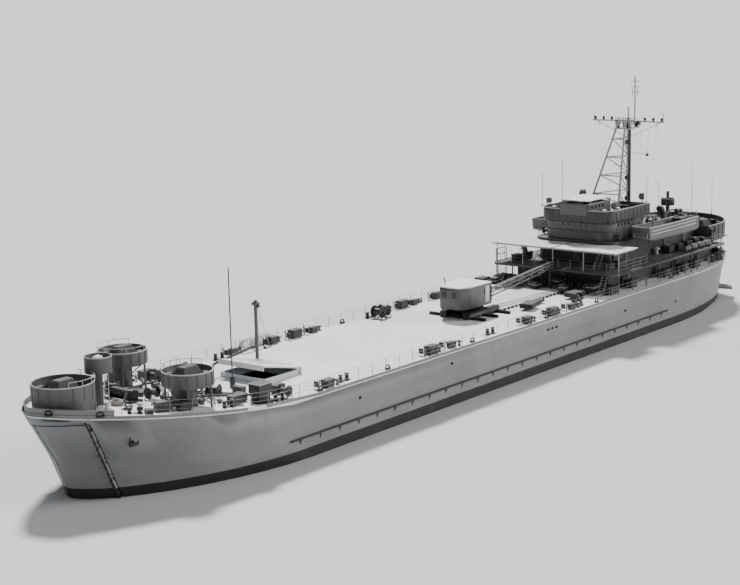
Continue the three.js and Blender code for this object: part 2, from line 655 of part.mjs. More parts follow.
/** The coaming round the forward hatch, with the lugs that carry its cover's pin. */
function forwardHatchCoaming() {
  const { x, half, wall, height } = FORWARD_HATCH;
  const { openDeg, thickness } = HATCH_COVER;
  const { radius: pin, reach: pinReach, lug, lugFoot } = HATCH_PIN;
  const low = DECK_HEIGHT + SEAT_GAP;
  const edge = half + wall;
  const [originX, , originZ] = coverOrigin();
  const tilt = THREE.MathUtils.degToRad(openDeg);
  const pinX = originX - Math.sin(tilt) * thickness / 2;
  const pinZ = originZ + Math.cos(tilt) * thickness / 2;
  const lugs = [];
  for (const side of [1, -1]) {
    const across = (inner) => [side * inner, side * (edge + pinReach)].sort((a, b) => a - b);
    lugs.push(block([pinX - lug, pinX + lug], across(edge - wall), [low, low + lugFoot]));
    lugs.push(block([pinX - lug, pinX + lug], across(edge + 1), [low, pinZ - pin - SEAT_GAP]));
  }
  const outer = block([x[0] - wall, x[1] + wall], [-edge, edge], [low, DECK_HEIGHT + height]);
  return join([outer, ...lugs]).subtract(block(x, [-half, half], [0, EDGE]));
}

/** The forward hatch's cover in its own frame: hinge at the origin, lid along +X. */
function forwardHatchCover() {
  const { x, half, wall } = FORWARD_HATCH;
  const { thickness, lap, skirt } = HATCH_COVER;
  const reach = x[1] - x[0] + wall * 2 + lap;
  const edge = half + wall;
  const middle = thickness / 2;
  return join([
    block([0, reach], [-edge, edge], [0, thickness]),
    block([reach - thickness, reach], [-edge, edge], [-skirt, thickness]),
    rod([0, -edge - HATCH_PIN.reach, middle], [0, edge + HATCH_PIN.reach, middle], HATCH_PIN.radius, 12),
  ]);
}

/** The cargo hatch's coaming and covers. */
function cargoHatch() {
  const { x, half, height } = CARGO_HATCH;
  return block(x, [-half, half], [DECK_HEIGHT + SEAT_GAP, DECK_HEIGHT + height]);
}

/** The crane's base in its own frame: two skids, mat beams across and the slewing ring. */
function craneBase() {
  const { skidLength, skidWidth, skidHeight, skidY, beam, beamX, beamLength } = CRANE_BASE;
  const { bridge, bridgeLow, ring, top } = CRANE_BASE;
  const beamHalf = beamLength / 2;
  const pieces = [
    rod([0, 0, beam], [0, 0, top], ring, 24),
    block([-bridge, bridge], [-skidY, skidY], [bridgeLow, skidHeight]),
  ];
  for (const side of [1, -1]) {
    pieces.push(block([-skidLength / 2, skidLength / 2],
      [side * skidY - skidWidth / 2, side * skidY + skidWidth / 2], [0, skidHeight]));
  }
  for (const x of beamX) {
    pieces.push(block([x - beam / 2, x + beam / 2], [-beamHalf, beamHalf], [0, beam]));
  }
  return join(pieces);
}

/** The outline of the crane's house, drawn in by a wall's thickness or not. */
function craneHouseShape(inset) {
  const { rear, taper, front, rearHalf, half } = CRANE_HOUSE;
  const corners = [[front + inset, half - inset], [taper, half - inset], [rear - inset, rearHalf - inset]];
  const mirrored = corners.map(([x, y]) => [x, -y]).reverse();
  return new THREE.Shape([...corners, ...mirrored].reverse().map(([x, y]) => new THREE.Vector2(x, y)));
}

/** The crane's machinery house in its own frame: a hollow shell on the turning plate. */
function craneHouse() {
  const { floor, plate, roof, rear, front, half, wall } = CRANE_HOUSE;
  const windowZ = CRANE_WINDOW.drop.map((drop) => roof - drop);
  const rearX = [rear - wall * 2, rear + wall];
  const tools = [
    raised(craneHouseShape(wall), floor + plate, roof - wall),
    block(rearX, CRANE_WINDOW.rear, windowZ),
    block(rearX, CRANE_WINDOW.rear.map((y) => -y).reverse(), windowZ),
    block([front - wall, front + wall * 2], CRANE_WINDOW.front, windowZ),
    block(CRANE_WINDOW.side, [half - wall * 2, half + wall], windowZ),
  ];
  const cheeks = [1, -1].map((side) => {
    const across = [side * BOOM_CHEEK.inner, side * BOOM_CHEEK.outer].sort((a, b) => a - b);
    return block([BOOM.x - BOOM_CHEEK.aft, front + wall], across, [floor, BOOM.z + BOOM_CHEEK.rise]);
  });
  return join([cut(raised(craneHouseShape(0), floor, roof), tools), ...cheeks]);
}

/** How wide the boom is at a fraction of its length, against its full width. */
function boomScale(t) {
  const { foot, footRun, shoulder, tip } = BOOM;
  return Math.min(foot + t * footRun, 1, 1 - (t - shoulder) / (1 - shoulder) * (1 - tip));
}

/** The crane's lattice boom in its own frame: foot pin at the origin, boom along -X. */
function craneBoom() {
  const { length, half, depth, tip, chord, lacing, diagonal, stations, bays, pin, sheave } = BOOM;
  const corner = (t, side, face) => {
    const scale = boomScale(t);
    return [-t * length, side * half * scale, face * depth / 2 * scale];
  };
  const pinHalf = BOOM_CHEEK.inner - SEAT_GAP;
  const pieces = [rod([0, -pinHalf, 0], [0, pinHalf, 0], pin)];
  for (const side of [1, -1]) {
    for (const face of [1, -1]) {
      for (let index = 1; index < stations.length; index += 1) {
        const ends = [stations[index - 1], stations[index]].map((t) => corner(t, side, face));
        pieces.push(rod(...ends, chord, 4));
      }
    }
  }
  for (let bay = 1; bay <= bays; bay += 1) {
    const t = bay / bays;
    const before = (bay - 1) / bays;
    for (const sign of [1, -1]) {
      pieces.push(rod(corner(t, -1, sign), corner(t, 1, sign), lacing, 4));
      pieces.push(rod(corner(t, sign, -1), corner(t, sign, 1), lacing, 4));
      pieces.push(rod(corner(before, sign, -1), corner(t, sign, 1), diagonal, 4));
    }
  }
  pieces.push(rod([-length, -half * tip, 0], [-length, half * tip, 0], sheave, 12));
  return join(pieces);
}

/** The post that stands under the boom's outer end. */
function boomCrutch() {
  const { x, radius, head, thickness, length } = CRUTCH;
  const reach = CRANE.x + BOOM.x - x;
  const rise = reach * Math.tan(THREE.MathUtils.degToRad(BOOM.slopeDeg));
  const top = DECK_HEIGHT + BOOM.z + rise - BOOM.depth / 2 - BOOM.chord - RUNNING_GAP * 3;
  return join([
    rod([x, CRANE.y, DECK_HEIGHT + SEAT_GAP], [x, CRANE.y, top - BITE], radius, 12),
    block([x - length, x + length], [CRANE.y - head, CRANE.y + head], [top - thickness, top]),
  ]);
}

/** The house on the main deck. */
function lowerHouse() {
  const { aft, forward, half, top } = LOWER_HOUSE;
  return block([aft, forward], [-half, half], [DECK_HEIGHT + SEAT_GAP, top]);
}

/** Half the main deck's width aft of its straight sides. */
function sternHalf(x) {
  const { stern, end } = HULL_LEVELS[HULL_LEVELS.length - 1];
  return HALF_BEAM * roundOff(Math.max(0, stern - x) / (stern - end), STERN_POWERS);
}

/** The deck over the lower house, with the posts along its edges where the main deck lies below. */
function boatDeck() {
  const { aft, forward, half, corner, thickness } = BOAT_DECK;
  const low = LOWER_HOUSE.top + SEAT_GAP;
  const y = half - DECK_POST.inset;
  const pieces = [raised(houseShape(aft, forward, half, corner), low, low + thickness)];
  for (let index = 0; index < DECK_POST.count; index += 1) {
    const x = DECK_POST.aft + index * DECK_POST.pitch;
    if (y < sternHalf(x) - DECK_POST.radius) {
      for (const side of [1, -1]) {
        const foot = [x, side * y, DECK_HEIGHT + SEAT_GAP];
        pieces.push(rod(foot, [x, side * y, low + BITE], DECK_POST.radius, 6));
      }
    }
  }
  return join(pieces);
}

/** The house on the boat deck. */
function middleHouse() {
  const { aft, forward, half, top } = MIDDLE_HOUSE;
  return block([aft, forward], [-half, half], [boatDeckTop() + SEAT_GAP, top]);
}

/** Height of the boat deck's upper face. */
function boatDeckTop() {
  return LOWER_HOUSE.top + SEAT_GAP + BOAT_DECK.thickness;
}

/** Height of the bridge deck's upper face. */
function bridgeDeckTop() {
  return MIDDLE_HOUSE.top + SEAT_GAP + BRIDGE_DECK.thickness;
}

/** Height of the flying bridge's floor. */
function flyingBridgeTop() {
  return WHEELHOUSE.top + SEAT_GAP + FLYING_BRIDGE.thickness;
}

/** The deck over the middle house, with the bearings of the davits' shafts. */
function bridgeDeck() {
  const { aft, forward, half, corner } = BRIDGE_DECK;
  const low = MIDDLE_HOUSE.top + SEAT_GAP;
  const pieces = [raised(houseShape(aft, forward, half, corner), low, bridgeDeckTop())];
  const [footY, footZ] = DAVIT.foot;
  const shaftLow = footZ - DAVIT_ARM.radius - SEAT_GAP;
  for (const side of [1, -1]) {
    for (const x of [BOAT.x - DAVIT_ARM.spread, BOAT.x + DAVIT_ARM.spread]) {
      const y = side * footY;
      pieces.push(block([x - DAVIT_BEARING.length, x + DAVIT_BEARING.length],
        [y - DAVIT_BEARING.half, y + DAVIT_BEARING.half], [bridgeDeckTop() - BITE, shaftLow]));
    }
  }
  return join(pieces);
}

/** A wall of even thickness round a house outline. */
function ringWall({ aft, forward, half, corner }, wall, low, high) {
  const outer = raised(houseShape(aft, forward, half, corner), low, high);
  const innerShape = houseShape(aft + wall, forward - wall, half - wall, corner - wall);
  return outer.subtract(raised(innerShape, low - EDGE, high + EDGE));
}

/** Window openings in a row across the front and along both sides of a house. */
function windowRow(house, low, high, count, sideCount) {
  const tools = [];
  const middle = (count - 1) / 2;
  for (let index = 0; index < count; index += 1) {
    const y = (index - middle) * WINDOW.pitch;
    tools.push(block([house.forward - WINDOW.reach, house.forward + 1],
      [y - WINDOW.width / 2, y + WINDOW.width / 2], [low, high]));
  }
  for (let index = 0; index < sideCount; index += 1) {
    const x = house.forward - house.corner - WINDOW.pitch * (index + 0.5);
    for (const side of [1, -1]) {
      const y = [side * house.half - WINDOW.reach, side * house.half + WINDOW.reach];
      tools.push(block([x - WINDOW.width / 2, x + WINDOW.width / 2], y, [low, high]));
    }
  }
  return tools;
}

/** The hollow wheelhouse, with its windows and its after doorway. */
function wheelhouse() {
  const low = bridgeDeckTop() + SEAT_GAP;
  const walls = ringWall(WHEELHOUSE, WHEELHOUSE.wall, low, WHEELHOUSE.top);
  const doorway = block([WHEELHOUSE.aft - 1, WHEELHOUSE.aft + 1 + WHEELHOUSE.wall],
    [-DOORWAY.half, DOORWAY.half], [low + DOORWAY.sill, DOORWAY.head]);
  const windows = windowRow(WHEELHOUSE, WINDOW.low, WINDOW.high, WINDOW.count, WINDOW.sideCount);
  return cut(walls, [...windows, doorway]);
}

/** The flying bridge: the wheelhouse's roof with a bulwark round it. */
function flyingBridge() {
  const { aft, forward, half, corner, bulwark, gate: gateHalf } = FLYING_BRIDGE;
  const low = WHEELHOUSE.top + SEAT_GAP;
  const gate = block([aft - 1, aft + TUB_WALL + 1], [-gateHalf, gateHalf],
    [flyingBridgeTop(), flyingBridgeTop() + EDGE]);
  return join([
    raised(houseShape(aft, forward, half, corner), low, flyingBridgeTop()),
    ringWall(FLYING_BRIDGE, TUB_WALL, low, flyingBridgeTop() + bulwark),
  ]).subtract(gate);
}

/** The open conn on the flying bridge, with its windows and the posts of its canopy. */
function conn() {
  const low = flyingBridgeTop() + SEAT_GAP;
  const walls = ringWall(CONN, TUB_WALL, low, CONN.top);
  const gate = block([CONN.aft - 1, CONN.aft + TUB_WALL + 1], [-CONN.gate, CONN.gate],
    [low + CONN.sill, CONN.top + EDGE]);
  const windows = windowRow(CONN, CONN.windowLow, CONN.windowHigh, CONN.windows, CONN.sideWindows);
  const open = cut(walls, [...windows, gate]);
  const posts = [];
  for (const x of [CONN.aft + TUB_WALL / 2, CONN.forward - CONN.corner]) {
    for (const side of [1, -1]) {
      const y = side * (CONN.half - TUB_WALL / 2);
      posts.push(rod([x, y, low], [x, y, CANOPY.low - SEAT_GAP], CANOPY.post));
    }
  }
  return join([open, ...posts]);
}

/** The canopy over the conn. */
function connCanopy() {
  return block([CANOPY.aft, CANOPY.forward], [-CANOPY.half, CANOPY.half], [CANOPY.low, CANOPY.high]);
}

/** One awning. */
function awning(side) {
  const { aft, forward, half, slit, z, thickness } = AWNING;
  return block([aft, forward], [side * slit, side * half].sort((a, b) => a - b), [z, z + thickness]);
}

/** The posts and rails that carry both awnings. */
function awningFrame() {
  const { radius, inset, lean: edgeLean } = AWNING_POST;
  const low = boatDeckTop() + SEAT_GAP;
  const top = AWNING.z - SEAT_GAP - radius;
  const front = AWNING.forward - inset - radius;
  const back = AWNING.aft + inset;
  const edge = AWNING.half - inset;
  const pieces = [front, back].map((x) => rod([x, -edge, top], [x, edge, top], radius));
  for (const y of [-edge, -edge / 2, 0, edge / 2, edge]) {
    const lean = Math.abs(y) === edge ? edgeLean : 0;
    pieces.push(rod([front - lean, y, low], [front - lean, y, top], radius, 6));
    pieces.push(rod([front, y, top], [back, y, top], radius, 6));
  }
  return join(pieces);
}

/** A point of one of the mast's forward legs, at a fraction of its length. */
function mastLegPoint(side, t) {
  const foot = flyingBridgeTop() + SEAT_GAP;
  return [
    MAST_LEG.x + (MAST_LEG.topX - MAST_LEG.x) * t,
    side * (MAST_LEG.y + (MAST_LEG.topY - MAST_LEG.y) * t),
    foot + (MAST_LEG.top - foot) * t,
  ];
}

/** The lattice mast: column, two forward legs, bracing, platform, yard and topmast. */
function mast() {
  const column = (z) => [MAST.x, 0, z];
  const pieces = [
    rod(column(bridgeDeckTop() + SEAT_GAP), column(MAST.top), MAST.radius, 12),
    rod(column(TOPMAST.bracket), [TOPMAST.x, 0, TOPMAST.bracket], YARD.radius),
    rod([TOPMAST.x, 0, TOPMAST.low], [TOPMAST.x, 0, TOPMAST.top], TOPMAST.radius),
    rod([MAST.x, -YARD.half, YARD.z], [MAST.x, YARD.half, YARD.z], YARD.radius),
    block([PLATFORM.aft, PLATFORM.forward], [-PLATFORM.half, PLATFORM.half], [PLATFORM.low, PLATFORM.high]),
    rod(column(MAST.top - BITE), column(MAST.spindleTop), MAST.spindle),
  ];
  for (const side of [1, -1]) {
    const ends = [-MAST_LEG.overrun, 1 + MAST_LEG.overrun].map((t) => mastLegPoint(side, t));
    pieces.push(rod(...ends, MAST_LEG.radius));
  }
  for (let index = 1; index < MAST.levels; index += 1) {
    const t = index / MAST.levels;
    const below = mastLegPoint(1, t - 1 / MAST.levels)[2];
    for (const side of [1, -1]) {
      const point = mastLegPoint(side, t);
      pieces.push(rod(point, column(point[2]), MAST.brace, 6));
      pieces.push(rod(point, column(below), MAST.brace, 6));
    }
    pieces.push(rod(mastLegPoint(1, t), mastLegPoint(-1, t), MAST.brace, 6));
  }
  const feet = flyingBridgeTop() + SEAT_GAP;
  return join(pieces).subtract(block([FLYING_BRIDGE.aft - RUNNING_GAP, 0], [-EDGE, EDGE], [0, feet]));
}

/** The after director on its post. */
function aftDirector() {
  const { x, y, post, head, floor, top } = AFT_DIRECTOR;
  const under = floor - TUB_PLATE;
  return join([
    rod([x, y, bridgeDeckTop() + SEAT_GAP], [x, y, under + BITE], post),
    cup(AFT_DIRECTOR, under, 16),
    rod([x, y, floor - BITE], [x, y, top], head),
  ]);
}

/** The house under the stern platform. */
function aftHouse() {
  const { forward, centre, aft, half, top } = AFT_HOUSE;
  return raised(sternShape(forward, centre, aft, half), DECK_HEIGHT + SEAT_GAP, top, 6);
}

/** One pair of davit arms on their common shaft, in the frame of the boat's middle. */
function davits(side) {
  const [footY, footZ] = DAVIT.foot;
  const [headY, headZ] = DAVIT.head;
  const { radius, spread, lug, sides } = DAVIT_ARM;
  const path = [DAVIT.foot, DAVIT.knee, DAVIT.shoulder, DAVIT.head];
  const shaft = spread + lug;
  const pieces = [rod([-shaft, side * footY, footZ], [shaft, side * footY, footZ], radius, sides)];
  for (const x of [-spread, spread]) {
    for (let index = 0; index < path.length - 1; index += 1) {
      const [y0, z0] = path[index];
      const [y1, z1] = path[index + 1];
      pieces.push(rod([x, side * y0, z0], [x, side * y1, z1], radius));
    }
    pieces.push(rod([x - lug / 2, side * headY, headZ], [x + lug / 2, side * headY, headZ], radius, sides));
  }
  return join(pieces);
}

/** A landing boat with its slings, in its own frame: keel at z = 0, bow ramp at +X. */
function landingBoat() {
  const { length, half, depth, wall, transom, floor } = BOAT;
  const { sternLift, quarter, stemRake, stemFoot, forefoot, sheer } = BOAT_FORM;
  const end = length / 2;
  const shell = profile([
    [-end, sternLift], [-end, depth - sheer], [end - stemRake, depth], [end, depth],
    [end - stemFoot, stemRake], [end - forefoot, 0], [-end + quarter, 0],
  ], [-half, half]);
  const well = block([-end + transom, end - stemRake], [-half + wall, half - wall], [floor, depth + wall]);
  const chines = [1, -1].map((side) => rod([-end - 1, side * half, CHINE.z], [end + 1, side * half, CHINE.z],
    CHINE.radius, 4));
  const slingTop = DAVIT.head[1] - BOAT.keel - DAVIT_ARM.radius - SLING.gap;
  const slings = [-DAVIT_ARM.spread, DAVIT_ARM.spread].map((x) => rod([x, 0, floor - BITE], [x, 0, slingTop],
    SLING.radius));
  const engineBox = block([-end + BOAT_ENGINE.aft, -end + BOAT_ENGINE.forward],
    [-BOAT_ENGINE.half, BOAT_ENGINE.half], [floor - BITE, floor + BOAT_ENGINE.height]);
  return join([cut(shell, [well, ...chines]), ...slings, engineBox]);
}

const group = new THREE.Group();

/** Adds one named piece to the ship, at a place and turned about an axis where that is given. */
function place(name, body, material, position = [0, 0, 0], rotation = [0, 0, 0]) {
  const mesh = new THREE.Mesh(geometryOf(body), material);
  mesh.name = name;
  mesh.position.set(...position);
  mesh.rotation.set(...rotation);
  group.add(mesh);
}

place('hull', hull(), HULL_GREY);
place('main_deck', mainDeck(), DECK_GREY);
place('bow_ramp', bowRamp(), HULL_GREY, [RAMP.x, 0, RAMP.z], [0, -THREE.MathUtils.degToRad(RAMP.restDeg), 0]);

for (const [name, side] of [['port', 1], ['starboard', -1]]) {
  const boat = [BOAT.x, side * BOAT.y, BOAT.keel];
  place(`bow_door_${name}`, bowDoor(side), HULL_GREY);
  place(`pontoon_shelf_${name}`, pontoonShelf(side), HULL_GREY);
  place(`engine_${name}`, engine(), DARK_GREY, [ENGINE.x, side * ENGINE.y, ENGINE_ROOM.floor + SEAT_GAP]);
  place(`propeller_shaft_${name}`, propellerShaft(side), BLACK);
  place(`propeller_${name}`, propeller(side), BRONZE, [PROPELLER_X, side * SHAFT.y, SHAFT.z]);
  place(`rudder_${name}`, rudder(), BLACK, [RUDDER.x, side * SHAFT.y, 0]);
  place(`propeller_guard_${name}`, propellerGuard(side), HULL_GREY);
  place(`bow_anchor_${name}`, bowAnchor(side), BLACK);
  place(`awning_${name}`, awning(side), CANVAS_WHITE);
  place(`davits_${name}`, davits(side), HOUSE_GREY, [BOAT.x, 0, 0]);
  place(`landing_boat_${name}`, landingBoat(), HOUSE_GREY, boat);
}

place('bow_tub', bowTub(), HULL_GREY);
place('forward_tub_port', leggedTub(PORT_TUB), HULL_GREY);
place('forward_tub_starboard', leggedTub(STARBOARD_TUB), HULL_GREY);
place('director_tub', directorTub(), HULL_GREY);
place('stern_platform', sternPlatform(), HOUSE_GREY);

for (const { name, x, y, floor } of MOUNTS) {
  place(`covered_mount_${name}`, coveredMount(), CANVAS_GREY, [x, y, floor + SEAT_GAP]);
}

const foreDeckTilt = Math.atan(SHEER_SLOPE);
place('anchor_windlass', winch(WINDLASS), DARK_GREY,
  [WINDLASS.x, WINDLASS.y, deckAt(WINDLASS.x) + SEAT_GAP * 2], [0, -foreDeckTilt, 0]);
place('stern_winch', winch(STERN_WINCH), DARK_GREY, [STERN_WINCH.x, STERN_WINCH.y, DECK_HEIGHT + SEAT_GAP]);
place('kingpost', kingpost(), HOUSE_GREY);
place('whip_antenna', whipAntenna(), DARK_GREY);
place('ventilator_house', ventilatorHouse(), DARK_GREY);
place('forward_hatch_coaming', forwardHatchCoaming(), DECK_GREY);
place('forward_hatch_cover', forwardHatchCover(), DECK_GREY, coverOrigin(),
  [0, -THREE.MathUtils.degToRad(HATCH_COVER.openDeg), 0]);
place('cargo_hatch', cargoHatch(), DECK_GREY);

const craneFoot = [CRANE.x, CRANE.y, DECK_HEIGHT + SEAT_GAP];
place('crane_base', craneBase(), BLACK, craneFoot);
place('crane_house', craneHouse(), HOUSE_GREY, craneFoot);
place('crane_boom', craneBoom(), HOUSE_GREY, [CRANE.x + BOOM.x, CRANE.y, DECK_HEIGHT + SEAT_GAP + BOOM.z],
  [0, THREE.MathUtils.degToRad(BOOM.slopeDeg), 0]);
place('boom_crutch', boomCrutch(), DARK_GREY);

place('lower_house', lowerHouse(), HOUSE_GREY);
place('boat_deck', boatDeck(), HOUSE_GREY);
place('middle_house', middleHouse(), HOUSE_GREY);
place('bridge_deck', bridgeDeck(), HOUSE_GREY);
place('wheelhouse', wheelhouse(), HOUSE_GREY);
place('flying_bridge', flyingBridge(), HOUSE_GREY);
place('conn', conn(), HOUSE_GREY);
place('conn_canopy', connCanopy(), CANVAS_WHITE);
place('awning_frame', awningFrame(), HOUSE_GREY);
place('mast', mast(), HOUSE_GREY);
place('aft_director', aftDirector(), DARK_GREY);
place('aft_house', aftHouse(), HOUSE_GREY);

export default group;
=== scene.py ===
"""The looks of a flat-bottomed tank landing ship at one tenth of its full size.

Everything is in metres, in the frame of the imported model: +X to the bow, +Y to port, +Z up, and the
flat bottom on z = 0. Each sub-assembly is a class that models its pieces and hands them to the yard,
which gives each piece its finish, its body and the frame nodes that it stands for.
"""
from __future__ import annotations

import json
import logging
import math
import random
from collections.abc import Iterable, Sequence
from dataclasses import dataclass
from enum import Enum

import bpy
from mathutils import Matrix, Vector


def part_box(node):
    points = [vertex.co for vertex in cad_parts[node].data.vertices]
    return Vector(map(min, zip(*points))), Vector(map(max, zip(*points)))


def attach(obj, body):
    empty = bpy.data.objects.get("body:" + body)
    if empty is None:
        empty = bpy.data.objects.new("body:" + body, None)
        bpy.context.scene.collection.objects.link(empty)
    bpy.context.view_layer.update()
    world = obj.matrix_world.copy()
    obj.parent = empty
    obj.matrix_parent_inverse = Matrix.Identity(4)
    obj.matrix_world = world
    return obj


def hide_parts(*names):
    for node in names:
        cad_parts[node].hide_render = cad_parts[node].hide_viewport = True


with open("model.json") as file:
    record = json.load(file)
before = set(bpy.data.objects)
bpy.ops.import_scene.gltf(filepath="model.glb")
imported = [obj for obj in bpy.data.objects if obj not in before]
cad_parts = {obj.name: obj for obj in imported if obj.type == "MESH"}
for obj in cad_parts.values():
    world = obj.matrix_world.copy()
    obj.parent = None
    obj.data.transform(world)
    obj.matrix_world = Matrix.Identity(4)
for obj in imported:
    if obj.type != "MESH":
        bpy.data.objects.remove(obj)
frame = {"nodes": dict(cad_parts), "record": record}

LOG = logging.getLogger("landing_ship")
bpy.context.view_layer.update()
SHIP = "ship"
SEED = 11
RIGHT_ANGLE = 90.0
FULL_TURN = 360.0
MERGE_GAP = 1e-5
TINY = 1e-6

Point = Sequence[float]
Pair = tuple[float, float]
Triple = tuple[float, float, float]
Piece = bpy.types.Object
Socket = bpy.types.NodeSocket
Material = bpy.types.Material


class Side(Enum):
    """The two sides of the ship, with their sign of Y."""

    PORT = 1
    STARBOARD = -1

    @property
    def word(self) -> str:
        """The side's plain name, as node names end with it."""
        return self.name.lower()


SIGNS = (1, -1)


# Modelling


def deselect() -> None:
    """Leaves edit mode and selects nothing."""
    if bpy.context.mode != "OBJECT":
        bpy.ops.object.mode_set(mode="OBJECT")
    bpy.ops.object.select_all(action="DESELECT")


def take(piece: Piece) -> Piece:
    """Makes one piece the active one and the only one selected."""
    deselect()
    piece.select_set(True)
    bpy.context.view_layer.objects.active = piece
    return piece


def edit(piece: Piece) -> None:
    """Opens a piece in edit mode with all of it selected."""
    take(piece)
    bpy.ops.object.mode_set(mode="EDIT")
    bpy.ops.mesh.select_all(action="SELECT")


def settle(piece: Piece) -> None:
    """Puts a piece's place, turn and scale into its mesh."""
    take(piece)
    bpy.ops.object.transform_apply(location=True, rotation=True, scale=True)


def modify(piece: Piece, kind: str, **settings: object) -> Piece:
    """Adds a modifier and applies it.

    Args:
        piece: The piece to change.
        kind: The modifier's type.
        settings: Its settings by name.

    Returns:
        The same piece.
    """
    take(piece)
    modifier = piece.modifiers.new(kind.title(), kind)
    for name, value in settings.items():
        setattr(modifier, name, value)
    bpy.ops.object.modifier_apply(modifier=modifier.name)
    return piece


def smooth(piece: Piece, degrees: float = 40) -> Piece:
    """Shades a piece smooth where its faces meet at less than an angle."""
    take(piece)
    bpy.ops.object.shade_smooth_by_angle(angle=math.radians(degrees))
    return piece


def drafted(name: str, points: Iterable[Point], edges: Sequence, faces: Sequence) -> Piece:
    """Starts a piece from a drawn outline.

    Args:
        name: The piece's name.
        points: The outline's points.
        edges: Pairs of point numbers, or nothing.
        faces: Rings of point numbers, or nothing.

    Returns:
        The new piece.
    """
    mesh = bpy.data.meshes.new(name)
    mesh.from_pydata([tuple(point) for point in points], edges, faces)
    piece = bpy.data.objects.new(name, mesh)
    bpy.context.scene.collection.objects.link(piece)
    return take(piece)


def outward(piece: Piece, gap: float = MERGE_GAP) -> Piece:
    """Merges doubled points and turns every face outward."""
    edit(piece)
    bpy.ops.mesh.remove_doubles(threshold=gap)
    bpy.ops.mesh.normals_make_consistent(inside=False)
    deselect()
    return piece


def block(name: str, low: Point, high: Point, bevel: float = 0.0) -> Piece:
    """A block between two corners, with softened edges.

    Args:
        name: The piece's name.
        low: Its lowest corner.
        high: Its highest corner.
        bevel: How far its edges are cut back.

    Returns:
        The new piece.
    """
    low, high = Vector(low), Vector(high)
    deselect()
    bpy.ops.mesh.primitive_cube_add(size=1, location=(low + high) / 2)
    piece = bpy.context.active_object
    piece.name = name
    piece.scale = high - low
    settle(piece)
    if bevel > 0:
        edit(piece)
        bpy.ops.mesh.bevel(offset=bevel, segments=1)
        deselect()
    return piece


def box(name: str, size: Point, foot: Point = (0, 0, 0), bevel: float = 0.0015) -> Piece:
    """A block of a size that stands on the middle of its foot."""
    (length, width, height), (x, y, z) = size, foot
    return block(name, (x - length / 2, y - width / 2, z), (x + length / 2, y + width / 2, z + height), bevel)


def slab(name: str, outline: Sequence[Point], low: float, high: float, bevel: float = 0.0) -> Piece:
    """A flat outline of (x, y) points drawn up from one height to another.

    Args:
        name: The piece's name.
        outline: The outline's points in order.
        low: The height that it starts from.
        high: The height that it ends at.
        bevel: How far its sharp edges are cut back.

    Returns:
        The new piece.
    """
    piece = drafted(name, [(x, y, low) for x, y in outline], [], [list(range(len(outline)))])
    edit(piece)
    bpy.ops.mesh.extrude_region_move(TRANSFORM_OT_translate={"value": (0, 0, high - low)})
    outward(piece)
    if bevel > 0:
        modify(piece, "BEVEL", width=bevel, segments=1, limit_method="ANGLE", angle_limit=math.radians(50))
    return piece


def wall(name: str, foot: Sequence[Point], height: float, thickness: float, closed: bool = False) -> Piece:
    """A thin upright wall on a line of points.

    Args:
        name: The piece's name.
        foot: The points of its lower edge.
        height: How high it stands.
        thickness: How thick it is, half to each side of the line.
        closed: Whether it runs back to its first point.

    Returns:
        The new piece.
    """
    count = len(foot)
    edges = [(i, (i + 1) % count) for i in range(count if closed else count - 1)]
    piece = drafted(name, foot, edges, [])
    edit(piece)
    bpy.ops.mesh.extrude_region_move(TRANSFORM_OT_translate={"value": (0, 0, height)})
    bpy.ops.mesh.normals_make_consistent(inside=False)
    modify(piece, "SOLIDIFY", thickness=thickness, offset=0, use_even_offset=True)
    return outward(piece)


def tubes(name: str, runs: Iterable[Sequence[Point]], radius: float, resolution: int = 1,
          closed: bool = False) -> Piece:
    """Round bars, wires or pipes along lines of points, as one piece.

    Args:
        name: The piece's name.
        runs: The lines of points.
        radius: The bars' radius.
        resolution: How round they are.
        closed: Whether each line runs back to its first point.

    Returns:
        The new piece.
    """
    curve = bpy.data.curves.new(name, "CURVE")
    curve.dimensions = "3D"
    curve.bevel_depth = radius
    curve.bevel_resolution = resolution
    curve.use_fill_caps = True
    for run in runs:
        spline = curve.splines.new("POLY")
        spline.points.add(len(run) - 1)
        spline.use_cyclic_u = closed
        for point, place in zip(spline.points, run):
            point.co = (*place, 1)
    piece = bpy.data.objects.new(name, curve)
    bpy.context.scene.collection.objects.link(piece)
    take(piece)
    bpy.ops.object.convert(target="MESH")
    return smooth(bpy.context.active_object, 50)


def spun(name: str, profile: Sequence[Pair], steps: int = 16) -> Piece:
    """A round piece about the upright axis.

    Args:
        name: The piece's name.
        profile: Pairs of radius and height, from the axis out and back to it.
        steps: How many sides it has.

    Returns:
        The new piece, centred on the origin.
    """
    points = [(radius, 0, z) for radius, z in profile]
    piece = drafted(name, points, [(i, i + 1) for i in range(len(points) - 1)], [])
    edit(piece)
    bpy.ops.mesh.spin(steps=steps, angle=math.tau, center=(0, 0, 0), axis=(0, 0, 1))
    outward(piece, TINY)
    return smooth(piece)


def drum(name: str, radius: float, height: float, steps: int = 16) -> Piece:
    """A round upright post or drum with softened rims."""
    soft = min(radius, height) * 0.12
    profile = [(0, 0), (radius - soft, 0), (radius, soft), (radius, height - soft), (radius - soft, height),
               (0, height)]
    return spun(name, profile, steps)


def ring(radius: float, z: float = 0.0, start: float = 0.0, end: float = FULL_TURN, steps: int = 24,
         centre: Pair = (0, 0)) -> list[Vector]:
    """Points round a level circle, or round a part of one between two angles in degrees.

    Args:
        radius: The circle's radius.
        z: Its height.
        start: The first angle.
        end: The last angle. A whole circle leaves its last point out.
        steps: How many steps it takes.
        centre: Its middle.

    Returns:
        The points in order.
    """
    count = steps if end - start >= FULL_TURN else steps + 1
    turns = [math.radians(start + (end - start) * index / steps) for index in range(count)]
    x, y = centre
    return [Vector((x + radius * math.cos(turn), y + radius * math.sin(turn), z)) for turn in turns]


